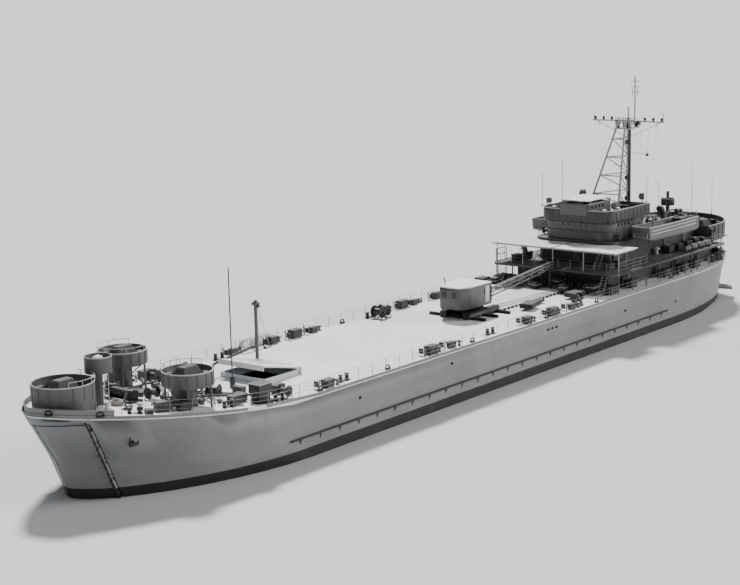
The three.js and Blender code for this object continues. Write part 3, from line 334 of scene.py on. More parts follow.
def joined(name: str, pieces: Sequence[Piece]) -> Piece:
    """Joins pieces into one."""
    deselect()
    for piece in pieces:
        piece.select_set(True)
    bpy.context.view_layer.objects.active = pieces[0]
    if len(pieces) > 1:
        bpy.ops.object.join()
    whole = bpy.context.view_layer.objects.active
    whole.name = name
    return whole


def at(x: float, y: float, z: float, turn: float = 0.0, size: float = 1.0) -> Matrix:
    """A place: where it is, how far it is turned about the upright axis in degrees, and its scale."""
    return Matrix.Translation((x, y, z)) @ Matrix.Rotation(math.radians(turn), 4, "Z") @ Matrix.Scale(size, 4)


def tipped(place: Matrix, degrees: float, axis: str) -> Matrix:
    """A place turned further about one of its own axes."""
    return place @ Matrix.Rotation(math.radians(degrees), 4, axis)


def copies(name: str, pattern: Piece, places: Iterable[Matrix]) -> Piece:
    """Copies a pattern to each place and joins the copies.

    Args:
        name: The joined piece's name.
        pattern: The piece that is copied, modelled at the origin. It isn't kept.
        places: A matrix for each copy.

    Returns:
        The joined copies.
    """
    pieces = []
    for place in places:
        mesh = pattern.data.copy()
        mesh.transform(place)
        piece = bpy.data.objects.new(name, mesh)
        bpy.context.scene.collection.objects.link(piece)
        pieces.append(piece)
    bpy.data.objects.remove(pattern)
    return joined(name, pieces)


def polished(node: str, degrees: float = 40) -> Piece:
    """A copy of a frame node with its points merged and its round faces smooth."""
    piece = bpy.data.objects.new(f"{node}_finished", frame["nodes"][node].data.copy())
    bpy.context.scene.collection.objects.link(piece)
    edit(piece)
    bpy.ops.mesh.remove_doubles(threshold=MERGE_GAP)
    deselect()
    smooth(piece, degrees)
    return modify(piece, "WEIGHTED_NORMAL", keep_sharp=True)


# Finishes


class Shader:
    """A material's nodes, added and linked in order."""

    def __init__(self, name: str) -> None:
        """Starts an empty material with a surface shader and object coordinates."""
        self.material = bpy.data.materials.new(name)
        self.material.use_nodes = True
        self.tree = self.material.node_tree
        self.surface = self.tree.nodes["Principled BSDF"]
        self.place = self.node("ShaderNodeTexCoord").outputs["Object"]

    def node(self, kind: str, **settings: object) -> bpy.types.Node:
        """Adds a node with its settings."""
        node = self.tree.nodes.new(kind)
        for name, value in settings.items():
            setattr(node, name, value)
        return node

    def feed(self, source: object, target: Socket) -> None:
        """Links a socket to another, or sets it to a plain value."""
        if isinstance(source, Socket):
            self.tree.links.new(source, target)
        else:
            target.default_value = source

    def stretched(self, scale: Point, turn: Point = (0, 0, 0)) -> Socket:
        """Object coordinates, scaled and turned for a pattern."""
        mapping = self.node("ShaderNodeMapping")
        self.feed(self.place, mapping.inputs["Vector"])
        mapping.inputs["Scale"].default_value = scale
        mapping.inputs["Rotation"].default_value = turn
        return mapping.outputs["Vector"]

    def noise(self, vector: object, scale: float, detail: float = 4, rough: float = 0.6) -> Socket:
        """A noise pattern between 0 and 1."""
        noise = self.node("ShaderNodeTexNoise")
        self.feed(vector, noise.inputs["Vector"])
        for socket, number in (("Scale", scale), ("Detail", detail), ("Roughness", rough)):
            noise.inputs[socket].default_value = number
        return noise.outputs["Fac"]

    def span(self, value: object, low: float, high: float, out: Pair = (0, 1)) -> Socket:
        """A value spread from one range over another, and kept inside it."""
        node = self.node("ShaderNodeMapRange", clamp=True)
        self.feed(value, node.inputs["Value"])
        for socket, number in zip(("From Min", "From Max", "To Min", "To Max"), (low, high, *out)):
            node.inputs[socket].default_value = number
        return node.outputs["Result"]

    def maths(self, operation: str, first: object, second: object = 0.0) -> Socket:
        """One or two values worked on by arithmetic."""
        node = self.node("ShaderNodeMath", operation=operation)
        self.feed(first, node.inputs[0])
        self.feed(second, node.inputs[1])
        return node.outputs[0]

    def mixed(self, factor: object, first: object, second: object) -> Socket:
        """Two colours mixed by a factor."""
        node = self.node("ShaderNodeMix", data_type="RGBA")
        colours = [socket for socket in node.inputs if socket.type == "RGBA"]
        self.feed(factor, node.inputs["Factor"])
        self.feed(first, colours[0])
        self.feed(second, colours[1])
        return next(socket for socket in node.outputs if socket.type == "RGBA")

    def parted(self) -> dict[str, Socket]:
        """The object coordinates one by one."""
        node = self.node("ShaderNodeSeparateXYZ")
        self.feed(self.place, node.inputs[0])
        return {axis: node.outputs[axis] for axis in "XYZ"}

    def seams(self, across: str, up: str, size: Pair, width: float) -> Socket:
        """Plate seams as a brick pattern over two axes, 1 on a seam and 0 between.

        Args:
            across: The axis that the courses run along.
            up: The axis that the courses stack along.
            size: A plate's length and height.
            width: A seam's width.

        Returns:
            The seam factor.
        """
        parts = self.parted()
        flat = self.node("ShaderNodeCombineXYZ")
        self.feed(parts[across], flat.inputs["X"])
        self.feed(parts[up], flat.inputs["Y"])
        brick = self.node("ShaderNodeTexBrick")
        self.feed(flat.outputs[0], brick.inputs["Vector"])
        for socket, number in (("Scale", 1.0), ("Mortar Size", width), ("Mortar Smooth", 0.3),
                               ("Brick Width", size[0]), ("Row Height", size[1])):
            brick.inputs[socket].default_value = number
        return brick.outputs["Fac"]

    def bump(self, height: object, strength: float, distance: float) -> None:
        """Raises the surface by a height pattern."""
        node = self.node("ShaderNodeBump")
        node.inputs["Strength"].default_value = strength
        node.inputs["Distance"].default_value = distance
        self.feed(height, node.inputs["Height"])
        self.feed(node.outputs["Normal"], self.surface.inputs["Normal"])

    def finish(self, colour: object, roughness: object, metallic: float = 0.0) -> Material:
        """Sets the surface's own colour, roughness and metalness."""
        self.feed(colour, self.surface.inputs["Base Color"])
        self.feed(roughness, self.surface.inputs["Roughness"])
        self.surface.inputs["Metallic"].default_value = metallic
        return self.material


def grey(value: float, tint: float = 0.0) -> tuple[float, float, float, float]:
    """A grey as a colour, a little bluer with a positive tint and browner with a negative one."""
    return (value * (1 - tint), value, value * (1 + tint), 1.0)


@dataclass(frozen=True)
class Paint:
    """Weathered ship's paint: patches, runs down upright plates, seams and rust."""

    name: str
    slot: str
    shade: float
    tint: float = 0.02
    roughness: float = 0.55
    patch: float = 0.16
    runs: float = 0.25
    rust: float = 0.0
    plate: Pair = (0.6, 0.2)
    seam: float = 0.0016
    across: str = "X"
    up: str = "Z"

    def tone(self, share: float) -> tuple[float, float, float, float]:
        """The paint's own grey, made lighter or darker by a share."""
        return grey(self.shade * share, self.tint)

    def colour(self, shader: Shader) -> Socket:
        """The paint's colour with its patches, runs, seams and rust.

        Args:
            shader: The material being made.

        Returns:
            The colour socket.
        """
        broad = shader.noise(shader.place, 1.6, 5)
        fine = shader.noise(shader.place, 26, 4)
        run = shader.noise(shader.stretched((14, 14, 0.9)), 1.0, 5, 0.65)
        light, dark = self.tone(1 + self.patch), self.tone(1 - self.patch)
        base = shader.mixed(shader.span(broad, 0.3, 0.7), dark, light)
        speck = shader.mixed(shader.span(fine, 0.35, 0.75, (0, 0.35)), base, self.tone(0.8))
        streak = shader.span(run, 0.52, 0.74, (0, self.runs))
        worn = shader.mixed(streak, speck, self.tone(0.55))
        if self.rust > 0:
            spot = shader.noise(shader.stretched((6, 6, 1.4)), 2.2, 8, 0.7)
            worn = shader.mixed(shader.span(spot, 0.62, 0.74, (0, self.rust)), worn, (0.14, 0.085, 0.055, 1))
        seam = shader.seams(self.across, self.up, self.plate, self.seam)
        return shader.mixed(shader.maths("MULTIPLY", seam, 0.35), worn, self.tone(0.45))

    def build(self) -> Material:
        """Makes the material."""
        shader = Shader(self.name)
        colour = self.colour(shader)
        seam = shader.seams(self.across, self.up, self.plate, self.seam)
        fine = shader.noise(shader.place, 60, 3)
        shader.bump(shader.maths("ADD", shader.maths("MULTIPLY", fine, 0.25), seam), 0.35, 0.0012)
        polish = (self.roughness - 0.08, self.roughness + 0.12)
        return shader.finish(colour, shader.span(shader.noise(shader.place, 9, 4), 0.3, 0.7, polish))


@dataclass(frozen=True)
class HullPaint(Paint):
    """Side plating painted lighter towards the waterline as bounce light off the water, with a black boot top
    at the waterline and bottom paint below it.
    """

    boot_top: float = 0.362
    boot_low: float = 0.272
    fade: float = 0.004

    def build(self) -> Material:
        """Makes the material."""
        shader = Shader(self.name)
        sides = self.colour(shader)
        ripple = shader.noise(shader.stretched((1, 1, 0.2)), 7, 4)
        height = shader.maths("ADD", shader.parted()["Z"], shader.span(ripple, 0, 1, (-self.fade, self.fade)))
        banded_noise = shader.noise(shader.stretched((2, 2, 10)), 1.4, 6, 0.7)
        # Painted bounce light: the sides are painted lighter towards the waterline, broken into bands of
        # noise, as light thrown up from the water.
        painted_bounce_light = shader.maths("MULTIPLY", shader.span(height, 0.62, self.boot_top, (0, 0.6)),
                              shader.span(banded_noise, 0.35, 0.7, (0.3, 1)))
        sides = shader.mixed(painted_bounce_light, sides, grey(self.shade * 1.7))
        black = shader.mixed(shader.span(ripple, 0.3, 0.7), grey(0.008), grey(0.02))
        bottom = shader.mixed(shader.span(banded_noise, 0.3, 0.7), (0.05, 0.018, 0.014, 1), (0.085, 0.03, 0.022, 1))
        lower = shader.mixed(shader.span(height, self.boot_low, self.boot_low + self.fade), bottom, black)
        colour = shader.mixed(shader.span(height, self.boot_top, self.boot_top + self.fade), lower, sides)
        seam = shader.seams(self.across, self.up, self.plate, self.seam)
        dent = shader.noise(shader.stretched((2.4, 2.4, 5)), 1, 3)
        shader.bump(shader.maths("ADD", shader.maths("MULTIPLY", dent, 2.2), seam), 0.3, 0.0016)
        return shader.finish(colour, self.roughness)


@dataclass(frozen=True)
class DeckPaint(Paint):
    """Deck plating with lashing sockets in rows, scuffs and stains."""

    socket_pitch: float = 0.13

    def build(self) -> Material:
        """Makes the material."""
        shader = Shader(self.name)
        colour = self.colour(shader)
        stain = shader.noise(shader.stretched((0.7, 2.2, 1)), 1.5, 7, 0.7)
        colour = shader.mixed(shader.span(stain, 0.52, 0.78, (0, 0.4)), colour, grey(self.shade * 0.6))
        parts = shader.parted()
        squares = []
        for axis in "XY":
            step = shader.maths("FRACT", shader.maths("DIVIDE", parts[axis], self.socket_pitch))
            part = shader.maths("SUBTRACT", step, 0.5)
            squares.append(shader.maths("MULTIPLY", part, part))
        far = shader.maths("SQRT", shader.maths("ADD", *squares))
        dot = shader.span(far, 0.055, 0.075, (1, 0))
        colour = shader.mixed(shader.maths("MULTIPLY", dot, 0.5), colour, grey(self.shade * 0.35))
        seam = shader.seams(self.across, self.up, self.plate, self.seam)
        grit = shader.noise(shader.place, 140, 2)
        relief = shader.maths("ADD", shader.maths("MULTIPLY", grit, 0.5), shader.maths("SUBTRACT", seam, dot))
        shader.bump(relief, 0.35, 0.001)
        return shader.finish(colour, self.roughness)


@dataclass(frozen=True)
class Canvas:
    """Woven canvas, with its weave, creases and grime."""

    name: str
    slot: str
    shade: float
    tint: float = -0.02
    weave: float = 240.0
    grime: float = 0.3

    def build(self) -> Material:
        """Makes the material."""
        shader = Shader(self.name)
        broad = shader.noise(shader.place, 5, 6, 0.65)
        base = shader.mixed(shader.span(broad, 0.4, 0.75, (0, self.grime)), grey(self.shade, self.tint),
                            grey(self.shade * 0.6, self.tint))
        threads = []
        for turn in (0.0, math.pi / 2):
            wave = shader.node("ShaderNodeTexWave", bands_direction="X")
            shader.feed(shader.stretched((self.weave,) * 3, (0, 0, turn)), wave.inputs["Vector"])
            wave.inputs["Scale"].default_value = 1.0
            threads.append(wave.outputs["Fac"])
        crease = shader.maths("MULTIPLY", shader.noise(shader.stretched((3, 9, 3)), 3, 5, 0.6), 9)
        shader.bump(shader.maths("ADD", shader.maths("ADD", *threads), crease), 0.3, 0.0007)
        shader.surface.inputs["Sheen Weight"].default_value = 0.15
        return shader.finish(base, 0.9)


@dataclass(frozen=True)
class Metal:
    """Bare, cast or glazed stuff with a mottled surface."""

    name: str
    slot: str
    colour: Triple
    roughness: float = 0.45
    metallic: float = 1.0
    mottle: float = 0.35
    scale: float = 18.0
    relief: float = 0.2

    def build(self) -> Material:
        """Makes the material."""
        shader = Shader(self.name)
        blotch = shader.noise(shader.place, self.scale, 6, 0.65)
        dark = tuple(part * (1 - self.mottle) for part in self.colour)
        colour = shader.mixed(shader.span(blotch, 0.35, 0.7), (*dark, 1), (*self.colour, 1))
        rough = shader.span(blotch, 0.3, 0.7, (self.roughness + 0.1, self.roughness - 0.05))
        shader.bump(shader.noise(shader.place, self.scale * 6, 4), self.relief, 0.0008)
        return shader.finish(colour, rough, self.metallic)


Finish = Paint | Canvas | Metal

HULL = HullPaint("hull_side_paint", "hull_paint", 0.21, rust=0.14, plate=(0.62, 0.15), seam=0.0014)
# The deck's grey paint is raised to a near-white shade: painted sunlight on the deck's top.
DECK = DeckPaint("deck_paint_with_painted_sunlight", "deck_paint", 0.8, patch=0.07, runs=0.0, roughness=0.8,
                 plate=(0.9, 0.24), up="Y", seam=0.0022)
FORE = Paint("forecastle_grey_paint", "hull_paint", 0.105, rust=0.1, runs=0.4, plate=(0.3, 0.12))
HOUSE = Paint("house_dark_grey_paint", "house_paint", 0.055, runs=0.4, rust=0.06, plate=(0.34, 0.13))
HOUSE_DECK = Paint("house_deck_grey_paint", "house_paint", 0.09, runs=0.0, plate=(0.34, 0.2), up="Y")
MIDDLE = Paint("bridge_middle_grey_paint", "house_paint", 0.115, runs=0.3, plate=(0.34, 0.13))
BOAT_GREY = Paint("boat_grey_paint", "house_paint", 0.13, runs=0.3, plate=(0.4, 0.05), seam=0.001)
DARK = Paint("dark_fittings_paint", "dark_fittings", 0.03, runs=0.2, plate=(2, 2))
RAIL = Paint("rail_pale_grey_paint", "house_paint", 0.42, runs=0.0, plate=(2, 2))
PALE = Paint("pale_fittings_paint", "deck_paint", 0.6, runs=0.2, plate=(2, 2))
# Painted sunlight: the crane roof's near-white shade stands for the sun on its top.
PAINTED_SUNLIT_ROOF = Paint("roof_paint_with_painted_sunlight", "house_paint", 0.78, runs=0.0, patch=0.05, plate=(2, 2))
BLACK = Paint("black_steel_paint", "black_steel", 0.012, runs=0.2, plate=(2, 2))
AWNING_CLOTH = Canvas("white_awning_canvas", "white_canvas", 0.8, grime=0.15)
COVER_CLOTH = Canvas("grey_cover_canvas", "grey_canvas", 0.1)
ROPE = Canvas("manila_rope", "white_canvas", 0.4, -0.1, 500)
BRONZE = Metal("cast_bronze", "bronze", (0.45, 0.3, 0.13), 0.35)
IRON = Metal("engine_casting", "engine_iron", (0.16, 0.17, 0.17), 0.5, 0.4)
GLASS = Metal("dark_window_glass", "dark_fittings", (0.02, 0.022, 0.025), 0.12, 0.0, 0.2, 4, 0.02)
WIRE = Metal("galvanised_wire", "dark_fittings", (0.3, 0.3, 0.31), 0.5, 0.6, 0.3, 90)


class Yard:
    """Puts finished pieces aboard."""

    def __init__(self) -> None:
        """Starts with no pieces, no paint mixed, and the record's slot of each node."""
        self.count = 0
        self.stirred: dict[str, Material] = {}
        self.slots = {part["node"]: part["material_slot"] for part in frame["record"]["subparts"]}

    def material(self, finish: Finish) -> Material:
        """The material of a finish, made at its first use."""
        if finish.name not in self.stirred:
            self.stirred[finish.name] = finish.build()
        return self.stirred[finish.name]

    def fit(self, piece: Piece, finish: Finish, body: str = SHIP, nodes: Sequence[str] = ()) -> None:
        """Gives a piece its finish, its body and the nodes that it stands for.

        Args:
            piece: The finished piece, in place.
            finish: Its finish.
            body: The body that it moves with.
            nodes: The frame nodes that it replaces.
        """
        piece.data.materials.clear()
        piece.data.materials.append(self.material(finish))
        piece.data.polygons.foreach_set("material_index", [0] * len(piece.data.polygons))
        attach(piece, body)
        if nodes:
            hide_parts(*nodes)
        self.count += 1
        LOG.info("%s: %d faces, on %s", piece.name, len(piece.data.polygons), body)

    def place(self, name: str, pattern: Piece, places: Iterable[Matrix], finish: Finish,
              body: str = SHIP) -> None:
        """Fits copies of a pattern, joined into one piece."""
        self.fit(copies(name, pattern, places), finish, body)

    def dress(self, node: str, finish: Finish) -> None:
        """Gives a frame node that stays in view its finish."""
        target = frame["nodes"][node]
        target.data.materials.clear()
        target.data.materials.append(self.material(finish))
        LOG.info("%s: kept, in %s", node, finish.name)

    def polish(self, node: str, finish: Finish, body: str = SHIP) -> None:
        """Replaces a node by its smooth copy."""
        self.fit(polished(node), finish, body, [node])


# The ship's lines


@dataclass(frozen=True)
class Lines:
    """The main deck's outline and sheer."""

    half_beam: float = 0.762
    half_length: float = 5.0
    deck: float = 0.767
    bow_start: float = 3.5
    bow_powers: Pair = (1.8, 1.5)
    stern_start: float = -3.4
    sheer_start: float = 3.1
    slope: float = 0.113

    def height(self, x: float) -> float:
        """The deck's upper face at a station."""
        return self.deck + max(0.0, x - self.sheer_start) * self.slope

    def half(self, x: float) -> float:
        """Half the deck's width at a station."""
        if x > self.bow_start:
            s = min(1.0, (x - self.bow_start) / (self.half_length - self.bow_start))
            return self.half_beam * (1 - s ** self.bow_powers[0]) ** (1 / self.bow_powers[1])
        s = min(1.0, max(0.0, self.stern_start - x) / (self.half_length + self.stern_start))
        return self.half_beam * math.sqrt(1 - s * s)

    def edge(self, start: float, end: float, side: int, inset: float = 0.0, lift: float = 0.0,
             step: float = 0.15) -> list[Vector]:
        """Points along the deck's edge.

        Args:
            start: The first station.
            end: The last station.
            side: The sign of Y.
            inset: How far inboard of the edge.
            lift: How high over the deck.
            step: About how far apart the points are.

        Returns:
            The points in order.
        """
        count = max(2, round(abs(end - start) / step))
        stations = [start + (end - start) * index / count for index in range(count + 1)]
        return [Vector((x, side * max(0.0, self.half(x) - inset), self.height(x) + lift)) for x in stations]

    def around(self, start: float, inset: float, lift: float, steps: int = 40) -> list[Vector]:
        """Points round the bow or the stern, from a station on the port side to the same to starboard.

        Args:
            start: The station, ahead of amidships for the bow.
            inset: How far inboard of the edge.
            lift: How high over the deck.
            steps: How many steps it takes.

        Returns:
            The points in order.
        """
        sign = 1 if start > 0 else -1
        middle = self.bow_start if start > 0 else self.stern_start
        reach = self.half_length - abs(middle)
        first = abs(start - middle) / reach
        points = []
        for index in range(steps + 1):
            turn = math.pi * index / steps
            s = min(1.0, first + (1 - first) * math.sin(turn))
            x = middle + sign * reach * s
            out = self.half(x)
            y = out * (1 - inset / max(out, abs(inset) * 2, TINY))
            across = 1 if turn < math.pi / 2 else -1
            points.append(Vector((x - sign * inset * s, across * y, self.height(x) + lift)))
        return points


LINES = Lines()
BOAT_DECK = 0.9793
BRIDGE_DECK = 1.2153
BRIDGE_FLOOR = 1.4253
BRIDGE_TOP = 1.5253


def house_run(aft: float, forward: float, half: float, corner: float, z: float,
              steps: int = 6) -> list[Vector]:
    """The outline of a house with rounded forward corners, from its starboard after corner to the port one.

    Args:
        aft: Its after end.
        forward: Its forward end.
        half: Half its width.
        corner: Its corner radius.
        z: The height of the points.
        steps: Points in each corner.

    Returns:
        The points in order.
    """
    points = [Vector((aft, -half, z))]
    for centre, start in ((corner - half, -90), (half - corner, 0)):
        points += ring(corner, z, start, start + 90, steps, (forward - corner, centre))
    points.append(Vector((aft, half, z)))
    return points


def spaced(points: Sequence[Vector], pitch: float) -> list[tuple[Vector, Vector]]:
    """Points at an even pitch along a line, each with the line's direction there.

    Args:
        points: The line's points.
        pitch: How far apart the new points are.

    Returns:
        Pairs of point and direction.
    """
    total = sum((b - a).length for a, b in zip(points, points[1:]))
    count = max(1, round(total / pitch))
    result = []
    for index in range(count + 1):
        left = total * index / count
        for a, b in zip(points, points[1:]):
            length = (b - a).length
            if left <= length + TINY:
                result.append((a.lerp(b, min(1.0, left / max(length, 1e-9))), (b - a).normalized()))
                break
            left -= length
    return result


def uprights(points: Sequence[Vector], pitch: float, height: float) -> list[list[Vector]]:
    """Upright lines at an even pitch along a line of feet."""
    return [[foot, foot + Vector((0, 0, height))] for foot, _ in spaced(points, pitch)]


def heading(way: Vector) -> float:
    """The level direction of a vector in degrees."""
    return math.degrees(math.atan2(way.y, way.x))


def raised(points: Iterable[Vector], lift: float) -> list[Vector]:
    """The same points, higher."""
    return [point + Vector((0, 0, lift)) for point in points]


@dataclass(frozen=True)
class Rail:
    """A guard rail: stanchions with wires through them."""

    height: float = 0.1
    wires: int = 3
    pitch: float = 0.18
    post: float = 0.0022
    wire: float = 0.0011

    def run(self, name: str, points: Sequence[Vector]) -> Piece:
        """Models one rail.

        Args:
            name: The piece's name.
            points: The line of the stanchions' feet.

        Returns:
            The rail.
        """
        posts = uprights(points, self.pitch, self.height)
        wires = [raised(points, self.height * (level + 1) / self.wires) for level in range(self.wires)]
        return joined(name, [tubes("posts", posts, self.post), tubes("wires", wires, self.wire)])


# Fittings that repeat, each modelled at the origin and standing on z = 0


@dataclass(frozen=True)
class Fittings:
    """Patterns for the small gear of a ship, at one tenth of its size."""

    def bitts(self) -> Piece:
        """Twin mooring posts on a bed."""
        post = spun("post", [(0, 0.004), (0.018, 0.004), (0.016, 0.05), (0.02, 0.056), (0.02, 0.062),
                             (0, 0.066)], 14)
        posts = copies("post", post, [at(x, 0, 0) for x in (-0.045, 0.045)])
        return joined("bitts", [box("bed", (0.15, 0.05, 0.006)), posts])

    def chock(self) -> Piece:
        """A closed fairlead: an oval eye on a foot."""
        eye = [Vector((p.x * 1.7, 0, p.y + 0.026)) for p in ring(0.018, steps=14)]
        return joined("chock", [tubes("eye", [eye], 0.008, 1, True), box("foot", (0.075, 0.03, 0.012))])

    def vent(self) -> Piece:
        """A mushroom ventilator."""
        return spun("vent", [(0, 0), (0.022, 0), (0.022, 0.008), (0.014, 0.01), (0.014, 0.045), (0.03, 0.045),
                             (0.032, 0.052), (0.024, 0.064), (0, 0.07)])

    def cowl(self) -> Piece:
        """A goose-necked ventilator that faces +X."""
        bend = [(0, 0, 0), (0, 0, 0.1), (0.006, 0, 0.122), (0.024, 0, 0.132), (0.044, 0, 0.128)]
        mouth = tubes("mouth", [[(0.04, 0, 0.129), (0.056, 0, 0.124)]], 0.03, 2)
        return joined("cowl", [tubes("neck", [bend], 0.018, 2), mouth, drum("foot", 0.026, 0.006)])

    def locker(self, length: float = 0.12, width: float = 0.07, height: float = 0.07) -> Piece:
        """A locker with a lid that laps over it, feet and two clips."""
        parts = [box("case", (length, width, height - 0.012), (0, 0, 0.008), 0.002),
                 box("lid", (length + 0.006, width + 0.006, 0.012), (0, 0, height - 0.006), 0.003)]
        for x in (-length * 0.35, length * 0.35):
            parts.append(box("foot", (0.012, width * 0.9, 0.01), (x, 0, 0)))
            parts.append(box("clip", (0.008, 0.006, 0.02), (x, width / 2 + 0.001, height - 0.026), 0.001))
        return joined("locker", parts)

    def reel(self) -> Piece:
        """A mooring-wire reel with its cheeks, drum and stand."""
        z = 0.055
        cheek = spun("cheek", [(0, 0), (0.045, 0), (0.047, 0.002), (0.045, 0.005), (0.03, 0.003),
                               (0, 0.003)], 18)
        cheeks = copies("cheeks", cheek, [tipped(at(0, y, z), RIGHT_ANGLE, "X") for y in (-0.04, 0.045)])
        core = tubes("core", [[(0, -0.04, z), (0, 0.04, z)]], 0.026, 2)
        legs = [[(x, y, 0), (0, y, z)] for x in (-0.035, 0.035) for y in (-0.052, 0.052)]
        legs.append([(0, -0.056, z), (0, 0.056, z)])
        return joined("reel", [cheeks, core, tubes("legs", legs, 0.004)])

    def coil(self) -> Piece:
        """A hawser coiled down flat."""
        turns = [ring(0.05 - 0.009 * (level % 2) - 0.002 * level, 0.006 + 0.009 * level, steps=20)
                 for level in range(4)]
        turns += [ring(0.03, 0.006 + 0.009 * level, steps=16) for level in range(2)]
        return tubes("coil", turns, 0.006, 1, True)

    def raft(self) -> Piece:
        """A life float with its slatted floor, lying flat."""
        half_length, half_width, radius = 0.1, 0.055, 0.014
        front = house_run(-half_length, half_length, half_width, 0.04, radius, 5)[1:-1]
        outline = front + [Vector((-p.x, -p.y, p.z)) for p in front]
        slats = [[(x, -half_width, radius), (x, half_width, radius)] for x in (-0.06, -0.02, 0.02, 0.06)]
        return joined("raft", [tubes("tube", [outline], radius, 2, True), tubes("slats", slats, 0.005)])

    def door(self) -> Piece:
        """A watertight door that faces +Y, with its frame, dogs and hinges."""
        parts = [box("frame", (0.084, 0.006, 0.19), (0, 0, 0), 0.002),
                 box("leaf", (0.07, 0.008, 0.174), (0, 0.004, 0.008), 0.003)]
        parts += [box("dog", (0.018, 0.006, 0.005), (0.03, 0.009, z), 0.001) for z in (0.03, 0.095, 0.16)]
        parts += [box("strap", (0.04, 0.006, 0.006), (-0.022, 0.009, z), 0.001) for z in (0.045, 0.145)]
        return joined("door", parts)

    def port_light(self) -> Piece:
        """The rim of a round window that faces +Y."""
        rim = spun("rim", [(0.0135, -0.003), (0.0185, -0.003), (0.0185, 0.002), (0.0165, 0.004),
                           (0.0135, 0.003), (0.0135, -0.003)], 18)
        return copies("port_light", rim, [tipped(at(0, 0, 0), -RIGHT_ANGLE, "X")])

    def port_glass(self) -> Piece:
        """The glass of a round window that faces +Y."""
        glass = spun("glass", [(0, -0.002), (0.0145, -0.002), (0.0145, 0.001), (0, 0.0016)], 14)
        return copies("port_glass", glass, [tipped(at(0, 0, 0), -RIGHT_ANGLE, "X")])

    def lamp(self) -> Piece:
        """A signalling searchlight on its fork, facing +X."""
        case = spun("case", [(0, -0.03), (0.02, -0.026), (0.026, -0.016), (0.027, 0.012), (0.024, 0.016),
                             (0, 0.013)], 18)
        case = copies("case", case, [tipped(at(0, 0, 0.07), RIGHT_ANGLE, "Y")])
        fork = [[(0, y, 0.07), (0, y, 0.036), (0, 0, 0.032)] for y in (-0.031, 0.031)]
        fork.append([(0, 0, 0), (0, 0, 0.034)])
        return joined("lamp", [case, tubes("fork", fork, 0.004), drum("foot", 0.016, 0.004)])

    def bottle(self) -> Piece:
        """A gas or fire bottle."""
        return spun("bottle", [(0, 0), (0.012, 0), (0.013, 0.004), (0.013, 0.07), (0.008, 0.084),
                               (0.004, 0.09), (0.004, 0.098), (0, 0.1)], 12)

    def canister(self) -> Piece:
        """A raft canister in its cradle."""
        shell = spun("shell", [(0, -0.06), (0.022, -0.06), (0.027, -0.052), (0.028, -0.003), (0.03, 0),
                               (0.028, 0.003), (0.027, 0.052), (0.022, 0.06), (0, 0.06)])
        shell = copies("shell", shell, [tipped(at(0, 0, 0.038), RIGHT_ANGLE, "Y")])
        cradles = [box("cradle", (0.01, 0.056, 0.022), (x, 0, 0)) for x in (-0.036, 0.036)]
        return joined("canister", [shell, *cradles])

    def hydrant(self) -> Piece:
        """A hydrant with its hand wheel and hose rack."""
        pipe = tubes("pipe", [[(0, 0, 0), (0, 0, 0.07), (0.016, 0, 0.07)]], 0.006)
        wheel = tubes("wheel", [ring(0.012, 0.084, steps=10)], 0.0018, 1, True)
        stem = tubes("stem", [[(0, 0, 0.07), (0, 0, 0.084)], [(-0.012, 0, 0.084), (0.012, 0, 0.084)]], 0.002)
        rack = box("rack", (0.05, 0.02, 0.05), (-0.04, 0, 0.02), 0.004)
        return joined("hydrant", [pipe, wheel, stem, rack])


FITTINGS = Fittings()


def ladder(name: str, foot: Point, head: Point, width: float, pitch: float = 0.026,
           bar: float = 0.0028) -> Piece:
    """A ladder between two points, level across.

    Args:
        name: The piece's name.
        foot: The middle of its foot.
        head: The middle of its head.
        width: How wide it is.
        pitch: How far apart its treads are.
        bar: The radius of its side bars.

    Returns:
        The ladder.
    """
    foot, head = Vector(foot), Vector(head)
    level = Vector((head.x - foot.x, head.y - foot.y, 0))
    across = level.normalized().cross(Vector((0, 0, 1))) if level.length > 1e-4 else Vector((0, 1, 0))
    across *= width / 2
    sides = [[foot + across, head + across], [foot - across, head - across]]
    count = max(2, int((head - foot).length / pitch))
    middles = [foot.lerp(head, index / count) for index in range(1, count)]
    treads = [[middle - across, middle + across] for middle in middles]
    return joined(name, [tubes("sides", sides, bar), tubes("treads", treads, bar * 0.7)])


def chain(name: str, path: Sequence[Vector], link: float = 0.014) -> Piece:
    """An anchor chain: oval links that lie by turns flat and on edge."""
    oval = [Vector((p.x * 1.5, p.y, 0)) for p in ring(link * 0.42, steps=10)]
    pattern = tubes("link", [oval], link * 0.17, 1, True)
    places = []
    for index, (foot, way) in enumerate(spaced(path, link)):
        turned = Matrix.Translation(foot) @ way.to_track_quat("X", "Z").to_matrix().to_4x4()
        places.append(tipped(turned, RIGHT_ANGLE * (index % 2), "X"))
    return copies(name, pattern, places)


# Sub-assemblies


